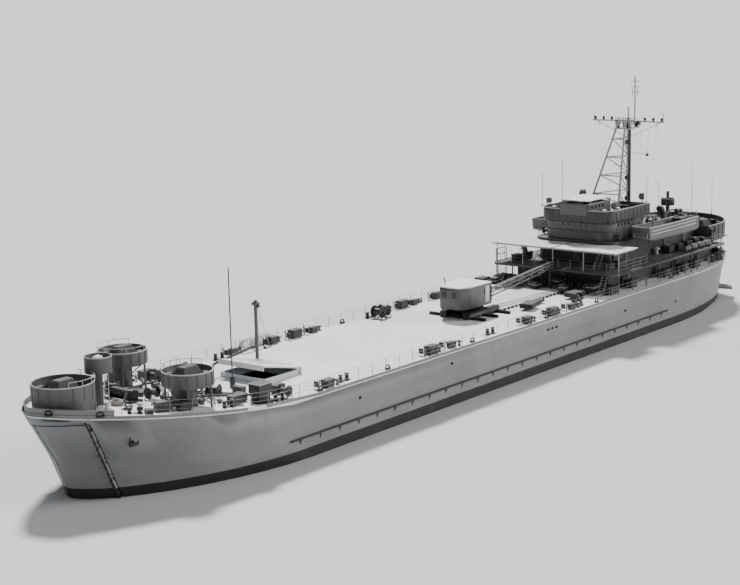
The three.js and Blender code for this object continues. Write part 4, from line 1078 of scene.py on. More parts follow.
@dataclass(frozen=True)
class HullWork:
    """The hull, its bow doors and what is fastened to its sides."""

    bulwark: float = 0.036
    bulwark_start: float = 4.6
    plate: float = 0.006
    moulding: float = 0.0045
    strake: float = 0.0195
    strake_plate: float = 0.0025
    seam_band: float = 0.06
    seam_slack: float = 0.012
    seam_shift: float = 0.015
    lug_pitch: float = 0.055
    shelf_low: float = 0.452
    bracket_pitch: float = 0.24
    eyes: Pair = (4.935, 4.68)
    discharges: tuple[Pair, ...] = (
        (-2.95, 0.52), (-0.48, 0.667), (-0.55, 0.667), (-0.62, 0.667), (1.05, 0.65), (2.3, 0.62), (-1.9, 0.6),
    )

    def brackets(self, side: Side) -> Piece:
        """The knees under a side's shelf."""
        depth, drop, width = 0.02, 0.05, 0.006
        y = side.value * (LINES.half_beam + 0.0004)
        low_z = self.shelf_low - drop
        points = [(-width / 2, y, self.shelf_low), (-width / 2, y + side.value * depth, self.shelf_low),
                  (-width / 2, y, low_z)]
        knee = drafted("knee", points, [], [[0, 1, 2]])
        edit(knee)
        bpy.ops.mesh.extrude_region_move(TRANSFORM_OT_translate={"value": (width, 0, 0)})
        outward(knee)
        low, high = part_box(f"pontoon_shelf_{side.word}")
        count = round((high.x - low.x) / self.bracket_pitch)
        places = [at(low.x + (high.x - low.x) * (index + 0.5) / count, 0, 0) for index in range(count)]
        return copies(f"shelf_brackets_{side.word}", knee, places)

    def openings(self) -> Piece:
        """The discharge pipes through both sides."""
        pipe = spun("pipe", [(0, -0.004), (0.008, -0.004), (0.008, 0.002), (0.012, 0.003), (0.012, -0.012),
                             (0, -0.012)], 14)
        places = []
        for x, z in self.discharges:
            for sign in SIGNS:
                places.append(tipped(at(x, sign * (LINES.half(x) + 0.004), z), -sign * RIGHT_ANGLE, "X"))
        return copies("hull_discharges", pipe, places)

    def mouldings(self) -> Piece:
        """The sheer strake along the deck's edge, with its half-round moulding."""
        runs = [LINES.edge(3.4, -3.38, sign, -0.001, -0.016, 0.6) for sign in SIGNS]
        runs += [LINES.around(3.4, -0.001, -0.016), LINES.around(-3.4, 0.001, -0.016)]
        strakes = [wall("strake", raised(run, -0.002), self.strake, self.strake_plate) for run in runs]
        return joined("sheer_strake", [tubes("moulding", runs, self.moulding), *strakes])

    def door_seam(self, side: Side) -> Piece:
        """The cover strip and hinges down the after edge of a bow door."""
        node = frame["nodes"]["bow_door_starboard"]
        rows: dict[int, Vector] = {}
        for vertex in node.data.vertices:
            point = node.matrix_world @ vertex.co
            point.y = abs(point.y) * side.value
            level = int(point.z / self.seam_band)
            if level not in rows or abs(point.y) > abs(rows[level].y):
                rows[level] = point
        low, high = rows[min(rows)], rows[max(rows)]
        path = [low]
        for level in sorted(rows)[1:-1]:
            chord = low.lerp(high, (rows[level].z - low.z) / (high.z - low.z))
            if abs(rows[level].y) > abs(chord.y) - self.seam_slack:
                path.append(rows[level])
        path.append(high)
        step = 0.03
        for place in path:
            slope = side.value * (LINES.half(place.x + step) - LINES.half(place.x))
            place += Vector((step, slope, 0)).normalized() * self.seam_shift
        lugs = []
        for point, way in spaced(path, self.lug_pitch):
            lugs.append([point, point + way.normalized() * self.lug_pitch * 0.45])
        name = f"bow_door_seam_{side.word}"
        return joined(name, [tubes("strip", [path], 0.0045, 1), tubes("lugs", lugs, 0.0075, 1)])

    def bow_bulwark(self) -> Piece:
        """The low bulwark round the bow, with its cap and stays."""
        foot = LINES.around(self.bulwark_start, self.plate, 0.0)
        plating = wall("plating", foot, self.bulwark, self.plate)
        cap = tubes("cap", [raised(foot, self.bulwark)], self.plate * 0.8)
        stays = []
        for point, way in spaced(foot, 0.09):
            inward = Vector((-way.y, way.x, 0)).normalized()
            inward = inward if inward.dot(Vector((LINES.bow_start, 0, 0)) - point) > 0 else -inward
            stays.append([point + inward * 0.024, point + Vector((0, 0, self.bulwark * 0.8))])
        return joined("bow_bulwark", [plating, cap, tubes("stays", stays, 0.002)])

    def fairleads(self) -> Piece:
        """The closed fairleads in the bow's bulwark."""
        places = []
        for x in self.eyes:
            for sign in SIGNS:
                before, after = (Vector((x + step, sign * LINES.half(x + step), 0)) for step in (-0.02, 0.02))
                y = sign * (LINES.half(x) - self.plate * 0.6)
                places.append(at(x, y, LINES.height(x) - 0.008, heading(after - before), 0.8))
        return copies("bow_fairleads", FITTINGS.chock(), places)

    def anchor(self, side: Side) -> Piece:
        """A stockless anchor housed against the bow: shank, crown, two flukes and the hawse ring."""
        low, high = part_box(f"bow_anchor_{side.word}")
        sign = side.value
        face = high.y if sign > 0 else low.y
        centre = Vector(((low.x + high.x) / 2, face - sign * 0.016, (low.z + high.z) / 2))
        crown = block("crown", centre + Vector((-0.042, -0.014, -0.036)),
                      centre + Vector((0.042, 0.014, -0.014)), 0.006)
        top = centre + Vector((0, -sign * 0.035, 0.052))
        parts = [crown, tubes("shank", [[centre + Vector((0, 0, -0.025)), top]], 0.009, 2)]
        for end in SIGNS:
            root = centre + Vector((end * 0.034, 0, -0.022))
            tip = centre + Vector((end * 0.04, sign * 0.008, 0.032))
            parts.append(tubes("palm", [[root, (root + tip) / 2]], 0.011, 1))
            parts.append(tubes("tip", [[(root + tip) / 2, tip]], 0.006, 1))
        rim = [top + Vector((p.x, -p.y * 0.3 * sign, p.y)) for p in ring(0.024, steps=16)]
        parts.append(tubes("rim", [rim], 0.007, 1, True))
        return joined(f"bow_anchor_{side.word}_finished", parts)

    def build(self, yard: Yard) -> None:
        """Models and fits everything on the hull."""
        yard.polish("hull", HULL)
        for side in Side:
            yard.polish(f"bow_door_{side.word}", HULL, f"bow_door_{side.word}")
            yard.fit(self.brackets(side), HULL)
            yard.fit(self.door_seam(side), BLACK, f"bow_door_{side.word}")
            yard.fit(self.anchor(side), BLACK, SHIP, [f"bow_anchor_{side.word}"])
            yard.dress(f"pontoon_shelf_{side.word}", DARK)
            yard.dress(f"propeller_guard_{side.word}", HULL)
        yard.fit(self.openings(), BLACK)
        yard.fit(self.mouldings(), HULL)
        yard.fit(self.bow_bulwark(), HULL)
        yard.fit(self.fairleads(), BLACK)
        yard.dress("bow_ramp", FORE)
        yard.dress("main_deck", DECK)


@dataclass(frozen=True)
class Ramp:
    """The anti-slip bars of the bow ramp."""

    hinge: Triple = (3.9, 0.0, 0.31)
    rise: float = 46.0
    half: float = 0.2
    bars: int = 18
    pitch: float = 0.038
    first: float = 0.05
    top: float = 0.013

    def build(self, yard: Yard) -> None:
        """Models and fits the bars."""
        place = tipped(Matrix.Translation(self.hinge), -self.rise, "Y")
        bar = block("bar", (-0.003, -self.half, -0.001), (0.003, self.half, 0.003))
        places = [place @ at(self.first + self.pitch * index, 0, self.top) for index in range(self.bars)]
        yard.place("ramp_bars", bar, places, FORE, "bow_ramp")


@dataclass(frozen=True)
class RunningGear:
    """Propellers, shafts, rudders, engines and bilge keels."""

    keel_half: float = 0.742
    keel_height: float = 0.026
    keel_plate: float = 0.006

    def bilge_keels(self) -> Piece:
        """The long fins along the turn of the bilge."""
        fins = []
        for sign in SIGNS:
            y = sign * self.keel_half
            foot = [(-2.2, y, 0.012), (-2.0, y, 0.004), (1.8, y, 0.004), (2.0, y, 0.012)]
            fins.append(wall("fin", foot, self.keel_height, self.keel_plate))
        return joined("bilge_keels", fins)

    def build(self, yard: Yard) -> None:
        """Fits the running gear."""
        for side in Side:
            yard.polish(f"propeller_{side.word}", BRONZE, f"propeller_{side.word}")
            yard.polish(f"propeller_shaft_{side.word}", BLACK)
            yard.polish(f"rudder_{side.word}", BLACK, f"rudder_{side.word}")
            yard.dress(f"engine_{side.word}", IRON)
        yard.fit(self.bilge_keels(), HULL)


@dataclass(frozen=True)
class Tub:
    """A round open tub: its node, its middle, its sizes, its ladder's angle and its hoop's two angles."""

    node: str
    x: float
    y: float
    radius: float
    floor: float
    rim: float
    ladder_turn: float
    hoop: Pair


TUBS = (
    Tub("bow_tub", 4.68, 0.0, 0.225, 1.035, 1.14, 150, (60, 200)),
    Tub("forward_tub_port", 3.9, 0.455, 0.19, 1.035, 1.13, -160, (-170, -40)),
    Tub("forward_tub_starboard", 3.69, -0.455, 0.19, 1.035, 1.13, 38, (-150, 120)),
)


@dataclass(frozen=True)
class ForwardTubs:
    """The walls, ribs, lockers and hoops of the forward tubs."""

    rib: float = 0.0035
    ribs: int = 16
    lockers: int = 7
    hoop_lift: float = 0.04

    def tub(self, yard: Yard, tub: Tub) -> None:
        """Finishes one tub.

        Args:
            yard: Where the pieces go.
            tub: The tub's sizes.
        """
        centre = (tub.x, tub.y)
        yard.polish(tub.node, FORE)
        foot = ring(tub.radius + 0.001, tub.floor - 0.004, steps=self.ribs, centre=centre)
        ribs = [[point, point + Vector((0, 0, tub.rim - tub.floor))] for point in foot]
        yard.fit(tubes(f"{tub.node}_ribs", ribs, self.rib, 0), FORE)
        edge = tubes("edge", [ring(tub.radius - 0.003, tub.rim, steps=48, centre=centre)], 0.005, 1, True)
        arc = ring(tub.radius - 0.003, tub.rim + self.hoop_lift, *tub.hoop, 26, centre)
        feet = [[point, point - Vector((0, 0, self.hoop_lift))] for point in arc[::5]]
        yard.fit(joined(f"{tub.node}_rim", [edge, tubes("hoop", [arc, *feet], 0.0026)]), RAIL)
        places = []
        for index in range(self.lockers):
            turn = 25 + 310 * index / self.lockers
            spot = ring(tub.radius - 0.045, tub.floor, turn, turn + 1, 1, centre)[0]
            places.append(at(*spot, turn + RIGHT_ANGLE, 0.75))
        yard.place(f"{tub.node}_lockers", FITTINGS.locker(0.07, 0.05, 0.08), places, DARK)
        spot = ring(tub.radius + 0.008, 0, tub.ladder_turn, tub.ladder_turn + 1, 1, centre)[0]
        rungs = ladder(f"{tub.node}_ladder", (0, 0, LINES.height(spot.x)), (0, 0, tub.rim), 0.045)
        rungs.data.transform(at(spot.x, spot.y, 0, tub.ladder_turn))
        yard.fit(rungs, DARK)

    def director(self, yard: Yard) -> None:
        """The director tub with its sight under a pale cover, and its ladder."""
        yard.polish("director_tub", FORE)
        low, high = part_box("director_tub")
        x, y = (low.x + high.x) / 2, (low.y + high.y) / 2
        hood = spun("hood", [(0, 0), (0.03, 0), (0.034, 0.05), (0.044, 0.07), (0.036, 0.098), (0.014, 0.11),
                             (0, 0.112)])
        yard.place("director_hood", hood, [at(x, y, high.z - 0.104)], PALE)
        yard.fit(tubes("director_rim", [ring(0.098, high.z, steps=32, centre=(x, y))], 0.004, 1, True), RAIL)
        foot = Vector((x - 0.03, y + 0.045, LINES.height(x)))
        yard.fit(ladder("director_ladder", foot, foot + Vector((0, 0, high.z - foot.z - 0.1)), 0.04), PALE)

    def build(self, yard: Yard) -> None:
        """Models and fits every forward tub."""
        for tub in TUBS:
            self.tub(yard, tub)
        self.director(yard)


@dataclass(frozen=True)
class Covers:
    """Canvas covers draped over the mounts, with folds that deepen toward the foot."""

    gap: float = 0.004
    top_share: Pair = (0.55, 0.45)
    fold: float = 0.007
    cuts: int = 7
    cloth: float = 0.002
    soft: float = 0.004

    def cover(self, yard: Yard, node: str, seed: int) -> None:
        """Models one cover as an open sheet over its mount.

        Args:
            yard: Where the pieces go.
            node: The mount's node.
            seed: What makes its folds differ from the next one's.
        """
        yard.dress(node, COVER_CLOTH)
        low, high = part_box(node)
        middle, height = (low + high) / 2, high.z - low.z
        half = ((high.x - low.x) / 2 + self.gap, (high.y - low.y) / 2 + self.gap)
        top = [size * share for size, share in zip(half, self.top_share)]
        corners = ((-1, -1), (1, -1), (1, 1), (-1, 1))
        foot = [(middle.x + a * half[0], middle.y + b * half[1], low.z + 0.004) for a, b in corners]
        head = [(middle.x + a * top[0], middle.y + b * top[1], high.z + self.gap) for a, b in corners]
        sides = [[i, (i + 1) % 4, 4 + (i + 1) % 4, 4 + i] for i in range(4)]
        piece = drafted(f"{node}_cover", foot + head, [], [[4, 5, 6, 7], *sides])
        modify(piece, "BEVEL", width=self.soft, segments=2, limit_method="ANGLE",
               angle_limit=math.radians(30))
        edit(piece)
        bpy.ops.mesh.subdivide(number_cuts=self.cuts)
        bpy.ops.mesh.normals_make_consistent(inside=False)
        deselect()
        pleats = 7 + seed % 3
        for vertex in piece.data.vertices:
            down = (high.z + self.gap - vertex.co.z) / height
            turn = math.atan2(vertex.co.y - middle.y, vertex.co.x - middle.x)
            push = self.fold * down * (0.5 + 0.5 * math.sin(pleats * turn + seed) * math.cos(3 * turn + seed))
            vertex.co += Vector((push * math.cos(turn), push * math.sin(turn), 0))
        smooth(piece, 60)
        modify(piece, "SOLIDIFY", thickness=self.cloth, offset=1)
        yard.fit(piece, COVER_CLOTH)

    def build(self, yard: Yard) -> None:
        """Models every cover."""
        for seed, name in enumerate(("bow", "port", "starboard", "stern_port", "stern_starboard")):
            self.cover(yard, f"covered_mount_{name}", seed)


@dataclass(frozen=True)
class Foredeck:
    """Windlass, chains, bitts, reels and stowed gear on the fore deck."""

    hawse: Pair = (4.36, 0.3)
    stores: int = 46
    clear: Triple = (4.12, 0.14, 0.2)

    def chains(self) -> Piece:
        """The anchor chains from the windlass to the hawse pipes."""
        runs = []
        x, y = self.hawse
        for sign in SIGNS:
            z = LINES.height(4.2) + 0.03
            path = [Vector((4.15, sign * 0.07, z + 0.03)), Vector((4.22, sign * 0.12, z)),
                    Vector((x, sign * y, LINES.height(x) + 0.006))]
            runs.append(chain("chain", path))
        return joined("anchor_chains", runs)

    def gear(self, yard: Yard) -> None:
        """Rows of stowed gear, each kind as one joined piece."""
        kinds = (
            ("fore_bitts", FITTINGS.bitts(), BLACK, [
                (4.42, 0.44, -38, 0.8), (4.42, -0.44, 38, 0.8), (3.7, 0.66, 0, 0.9), (3.7, -0.66, 0, 0.9),
                (3.18, 0.69, 0, 0.9), (3.18, -0.69, 0, 0.9)]),
            ("fore_lockers", FITTINGS.locker(), DARK, [
                (4.2, 0.5, -20, 1), (4.05, 0.56, -12, 0.9), (3.58, 0.62, 0, 1), (3.42, 0.52, 90, 0.8),
                (4.0, -0.5, 12, 1), (3.3, -0.62, 0, 1), (3.12, -0.6, 0, 0.9), (2.98, 0.5, 0, 0.9),
                (3.2, 0.3, 90, 0.8), (3.3, -0.25, 0, 1.1)]),
            ("fore_vents", FITTINGS.vent(), PALE, [
                (4.5, 0.25, 0, 0.9), (4.42, -0.2, 0, 0.9), (4.28, 0.35, 0, 0.8), (3.62, 0.2, 0, 1.1),
                (3.5, -0.1, 0, 1), (3.05, 0.3, 0, 0.9), (3.1, -0.4, 0, 1), (3.8, 0.12, 0, 0.9)]),
            ("fore_reels", FITTINGS.reel(), DARK, [
                (3.5, 0.32, 20, 1.1), (3.92, 0.1, 90, 1), (3.4, -0.42, 0, 1.1), (3.98, -0.26, 30, 1),
                (3.06, 0.64, 0, 1)]),
            ("fore_coils", FITTINGS.coil(), ROPE, [
                (4.3, 0.12, 0, 1), (4.28, -0.34, 0, 1), (3.75, 0.3, 0, 1), (3.36, 0.15, 0, 0.9),
                (3.62, -0.16, 0, 0.9), (3.22, -0.5, 0, 1)]),
        )
        rng = random.Random(SEED)
        loose = []
        while len(loose) < self.stores:
            x = rng.uniform(3.3, 4.35)
            y = rng.uniform(-0.62, 0.64) * min(1.0, LINES.half(x) / 0.7)
            if abs(x - self.clear[0]) > self.clear[1] or abs(y) > self.clear[2]:
                loose.append((x, y, rng.uniform(0, 180), rng.uniform(0.35, 0.75)))
        half = self.stores // 2
        kinds += (("fore_stores", FITTINGS.locker(0.09, 0.06, 0.05), DARK, loose[:half]),
                  ("fore_bottles", FITTINGS.bottle(), PALE, loose[half:]))
        for name, pattern, finish, spots in kinds:
            places = [at(x, y, LINES.height(x), turn, size) for x, y, turn, size in spots]
            yard.place(name, pattern, places, finish)

    def spars(self, yard: Yard) -> None:
        """Stowed spars, the kingpost's bent boom and its tackle."""
        z = LINES.deck + 0.03
        spars = [[(3.52, 0.09, z + 0.04), (3.25, 0.38, z)], [(3.55, 0.13, z + 0.04), (3.28, 0.42, z)],
                 [(3.9, 0.2, z + 0.09), (3.3, 0.55, z + 0.03)],
                 [(4.05, -0.1, z + 0.13), (3.45, -0.33, z + 0.05)]]
        yard.fit(tubes("stowed_spars", spars, 0.009, 2), DARK)
        boom = [(3.06, -0.12, 0.83), (2.88, -0.28, 0.87), (2.4, -0.275, 0.93)]
        yard.fit(tubes("hatch_boom", [boom], 0.011, 2), BLACK)
        low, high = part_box("kingpost")
        x, y = (low.x + high.x) / 2, (low.y + high.y) / 2
        falls = [[(x, y + away, high.z - 0.03), (x - 0.1, y + away * 6, 0.9)] for away in (-0.01, 0.01)]
        steps = [[(x - 0.03, y + half, 0.85 + 0.035 * i) for half in (-0.02, 0.02)] for i in range(10)]
        yard.fit(tubes("kingpost_falls", falls + steps, 0.0018), WIRE)
        pulley = spun("pulley", [(0, 0), (0.012, 0.003), (0.014, 0.012), (0.012, 0.021), (0, 0.024)], 12)
        places = [at(x, y + 0.03, high.z - 0.06), at(x - 0.1, y, 0.88)]
        yard.place("kingpost_blocks", pulley, places, DARK)

    def ventilator(self, yard: Yard) -> None:
        """The rim and slats of the ventilator house."""
        low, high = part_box("ventilator_house")
        face = high.x - 0.009
        slats = [[(face, low.y + 0.02, z), (face, high.y - 0.02, z)] for z in (0.83, 0.85, 0.87, 0.89)]
        yard.fit(tubes("ventilator_slats", slats, 0.004), BLACK)
        corners = ((low.x, low.y), (high.x, low.y), (high.x, high.y), (low.x, high.y))
        rim = [(x, y, high.z) for x, y in corners]
        yard.fit(tubes("ventilator_rim", [rim], 0.004, 1, True), RAIL)

    def build(self, yard: Yard) -> None:
        """Models and fits the fore deck's gear."""
        for node in ("anchor_windlass", "stern_winch", "ventilator_house"):
            yard.polish(node, DARK)
        yard.polish("kingpost", MIDDLE)
        yard.polish("whip_antenna", DARK)
        yard.dress("forward_hatch_coaming", PALE)
        yard.dress("forward_hatch_cover", DECK)
        yard.dress("cargo_hatch", DECK)
        yard.fit(self.chains(), BLACK)
        x, y = self.hawse
        rims = [ring(0.03, LINES.height(x) + 0.004, steps=18, centre=(x, sign * y)) for sign in SIGNS]
        yard.fit(tubes("hawse_rims", rims, 0.008, 1, True), BLACK)
        self.gear(yard)
        self.spars(yard)
        self.ventilator(yard)


@dataclass(frozen=True)
class DeckEdges:
    """The gear along both edges of the main deck, and its rails."""

    inset: float = 0.014
    items: tuple[tuple[int, tuple[float, ...]], ...] = (
        (1, (3.32, 2.62, 1.26, 0.97, -0.22, -0.65, -0.99)),
        (-1, (2.2, 1.7, 1.4, 1.15, 0.1, -0.17, -0.36, -0.73)),
    )
    chock_stations: tuple[float, ...] = (2.75, 1.9, 0.7, -0.5, -1.4, -2.9)
    bitt_stations: tuple[float, ...] = (2.4, 0.35, -1.15, -3.1)

    def gear(self, yard: Yard) -> None:
        """Boxes, hydrants, vents, chocks, bitts and reels along the edges."""
        z = LINES.deck
        lockers, hydrants, vents, chocks = [], [], [], []
        for sign, stations in self.items:
            for index, x in enumerate(stations):
                y = sign * (LINES.half(x) - 0.06)
                lockers.append(at(x, y, z, 0, 0.7 + 0.15 * (index % 3)))
                hydrants.append(at(x + 0.11, y + sign * 0.01, z, 90 * sign, 0.9))
                vents.append(at(x - 0.1, y + sign * 0.012, z, 0, 0.7))
            chocks += [at(x, sign * (LINES.half(x) - 0.03), z, 0, 0.8) for x in self.chock_stations]
        yard.place("edge_lockers", FITTINGS.locker(), lockers, DARK)
        yard.place("edge_hydrants", FITTINGS.hydrant(), hydrants, DARK)
        yard.place("edge_vents", FITTINGS.vent(), vents, MIDDLE)
        yard.place("edge_chocks", FITTINGS.chock(), chocks, BLACK)
        bitts = [at(x, sign * 0.68, z, 0, 0.9) for x in self.bitt_stations for sign in SIGNS]
        yard.place("edge_bitts", FITTINGS.bitts(), bitts, BLACK)
        reels = [at(0.35, -0.58, z, 0, 1.2), at(0.24, -0.6, z, 0, 1.1), at(-1.25, 0.6, z, 90, 1)]
        yard.place("edge_reels", FITTINGS.reel(), reels, DARK)

    def racks(self, yard: Yard) -> None:
        """The slanted float racks at the starboard edge and three low scuttles."""
        z = LINES.deck
        floats = [tipped(at(x, -0.7, z + 0.05), 55, "X") for x in (2.0, 1.84)]
        yard.place("life_floats", FITTINGS.raft(), floats, PALE)
        legs = [[(x, -0.745, z), (x, -0.745, z + 0.1), (x, -0.665, z)] for x in (2.07, 1.93, 1.77)]
        yard.fit(tubes("float_racks", legs, 0.003), DARK)
        spots = [at(-0.77, 0.37, z, 12), at(-1.46, 0.45, z), at(-1.05, 0.29, z, 5, 0.6)]
        # Painted light: the pale lids paint sunlight on the scuttles' tops, and the black bodies paint shade
        # on their sides.
        yard.place("scuttles", box("scuttle", (0.2, 0.13, 0.044), (0, 0, 0.022), 0.004), spots, BLACK)
        yard.place("scuttle_lids_painted_sunlit", box("lid", (0.17, 0.1, 0.008), (0, 0, 0.046), 0.003), spots, PALE)

    def hatches(self, yard: Yard) -> None:
        """The boards' joints and cleats of the cargo hatch, and the ribs of the forward cover."""
        low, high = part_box("cargo_hatch")
        stations = [low.x + (high.x - low.x) * i / 16 for i in range(1, 16)]
        boards = [[(x, low.y, high.z), (x, high.y, high.z)] for x in stations]
        yard.fit(tubes("hatch_boards", boards, 0.0022, 0), MIDDLE)
        cleat = box("cleat", (0.03, 0.012, 0.018), bevel=0.002)
        places = [at(low.x + 0.04 + 0.068 * i, sign * (high.y + 0.004), LINES.deck)
                  for i in range(16) for sign in SIGNS]
        yard.place("hatch_cleats", cleat, places, BLACK)
        low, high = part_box("forward_hatch_cover")
        across = [low.y + (high.y - low.y) * share for share in (0.2, 0.4, 0.6, 0.8)]
        ribs = [[(2.42, y, 0.836), (2.82, y, 0.921)] for y in across]
        yard.fit(tubes("hatch_cover_ribs", ribs, 0.004, 0), PALE, "hatch_cover")

    def build(self, yard: Yard) -> None:
        """Models and fits the edges' gear and rails."""
        rail = Rail()
        for side in Side:
            run = LINES.edge(4.55, 3.4, side.value, self.inset, step=0.1)
            run += LINES.edge(3.3, -3.4, side.value, self.inset, step=0.5)
            yard.fit(rail.run(f"deck_rail_{side.word}", run), WIRE)
        yard.fit(rail.run("stern_rail", LINES.around(-3.4, self.inset, 0.0)), WIRE)
        self.gear(yard)
        self.racks(yard)
        self.hatches(yard)


@dataclass(frozen=True)
class Crane:
    """The deck crane's house, base, boom and tackle."""

    centre: Pair = (-0.28, 0.02)
    floor: float = 0.867
    rear: float = 0.33
    front: float = 0.12
    half: float = 0.165
    taper: float = 0.22
    rear_half: float = 0.105
    glass: Pair = (0.15, 0.035)
    foot: Triple = (-0.43, 0.02, 0.915)
    head: Triple = (-1.72, 0.02, 1.035)
    hook: Triple = (-1.5, 0.02, 0.978)

    def outline(self, grow: float) -> list[Pair]:
        """The house's outline, grown outward."""
        x, y = self.centre
        port = [(x - self.front - grow, y + self.half + grow), (x + self.taper, y + self.half + grow),
                (x + self.rear + grow, y + self.rear_half + grow)]
        return port + [(a, 2 * y - b) for a, b in reversed(port)]

    def house(self, yard: Yard) -> None:
        """The roof, glass, door and pipes of the turning house."""
        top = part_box("crane_house")[1].z
        x, y = self.centre
        roof = slab("crane_roof", self.outline(0.006), top - 0.004, top + 0.006, 0.004)
        # The roof's near-white is painted sunlight on the top of the turning house.
        yard.fit(roof, PAINTED_SUNLIT_ROOF, "crane_upper")
        foot = [(a, b, top - self.glass[0]) for a, b in self.outline(-0.004)]
        panes = wall("crane_glass", foot, self.glass[0] - self.glass[1], 0.002, True)
        yard.fit(panes, GLASS, "crane_upper")
        door = copies("crane_door", FITTINGS.door(), [at(x - 0.05, y + self.half, self.floor + 0.03, 0, 0.8)])
        yard.fit(door, PALE, "crane_upper")
        side = y + self.half + 0.012
        runs = [[(x - 0.1, side, 0.9), (x - 0.1, side, 1.04)],
                [(x + 0.2, y - 0.14, top), (x + 0.2, y - 0.14, top + 0.05), (x + 0.22, y - 0.14, top + 0.06)]]
        yard.fit(tubes("crane_pipes", runs, 0.006, 2), DARK, "crane_upper")

    def build(self, yard: Yard) -> None:
        """Models and fits the crane."""
        yard.polish("crane_house", BOAT_GREY, "crane_upper")
        yard.polish("crane_base", BLACK)
        yard.polish("crane_boom", MIDDLE, "crane_boom")
        yard.polish("boom_crutch", DARK)
        self.house(yard)
        foot, head = Vector(self.foot), Vector(self.head)
        wires = [[foot + Vector((-0.07, y, 0.03)), head + Vector((0.02, y / 2, 0.02))]
                 for y in (-0.03, -0.01, 0.01, 0.03)]
        yard.fit(tubes("boom_wires", wires, 0.0014), WIRE, "crane_boom")
        hook = spun("hook", [(0, -0.05), (0.012, -0.045), (0.014, -0.02), (0.018, -0.016), (0.018, 0.0),
                             (0, 0.006)], 12)
        yard.place("boom_hook", hook, [at(*self.hook)], BLACK, "crane_boom")


@dataclass(frozen=True)
class Cloths:
    """The awnings before the bridge and the canopy over the conn."""

    thickness: float = 0.003
    sag: float = 0.012
    cells: int = 14
    inner: float = 0.012
    outer: float = 0.738

    def cloth(self, name: str, low: Vector, high: Vector) -> Piece:
        """A stretched cloth that sags between its edges.

        Args:
            name: The piece's name.
            low: The lowest corner of its box.
            high: The highest corner.

        Returns:
            The cloth.
        """
        deselect()
        size, middle = high - low, (low + high) / 2
        bpy.ops.mesh.primitive_grid_add(x_subdivisions=self.cells, y_subdivisions=self.cells * 2, size=1,
                                        location=(middle.x, middle.y, high.z))
        piece = bpy.context.active_object
        piece.name = name
        piece.scale = (size.x, size.y, 1)
        settle(piece)
        for vertex in piece.data.vertices:
            u, v = (vertex.co.x - low.x) / size.x, (vertex.co.y - low.y) / size.y
            dip = math.sin(math.pi * u) * abs(math.sin(2 * math.pi * v)) ** 0.8
            vertex.co.z -= self.sag * dip + 0.0015 * math.sin(40 * vertex.co.x + 23 * vertex.co.y)
        return smooth(piece, 60)

    def spread(self, yard: Yard, name: str, node: str) -> None:
        """Args:
            yard: Where the pieces go.
            name: The cloth's name.
            node: The node that it replaces.
        """
        low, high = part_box(node)
        piece = self.cloth(name, low, high)
        modify(piece, "SOLIDIFY", thickness=self.thickness, offset=-1)
        yard.fit(piece, AWNING_CLOTH, SHIP, [node])

    def canopy(self, yard: Yard) -> None:
        """The canopy's cloth and the posts under it."""
        low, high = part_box("conn_canopy")
        a, b, z = low + Vector((0.01, 0.01, 0)), high - Vector((0.01, 0.01, 0)), high.z - 0.006
        hoop = [[(a.x, a.y, z), (b.x, a.y, z), (b.x, b.y, z), (a.x, b.y, z), (a.x, a.y, z)]]
        posts = [[(x, y, 1.5), (x, y, z)] for x in (-2.6, -2.25) for y in (-0.155, 0.155)]
        yard.fit(tubes("canopy_frame", hoop + posts, 0.0045, 1), RAIL)
        self.spread(yard, "canopy_cloth", "conn_canopy")

    def build(self, yard: Yard) -> None:
        """Models and fits the cloths, their ropes and their frames."""
        yard.polish("awning_frame", RAIL)
        for side in Side:
            node, s = f"awning_{side.word}", side.value
            self.spread(yard, f"{node}_cloth", node)
            low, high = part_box(node)
            z = high.z - 0.002
            hem = [(low.x, s * self.inner, z), (high.x, s * self.inner, z), (high.x, s * self.outer, z),
                   (low.x, s * self.outer, z)]
            yard.fit(tubes(f"{node}_bolt_rope", [hem], 0.003, 1, True), ROPE)
        self.canopy(yard)


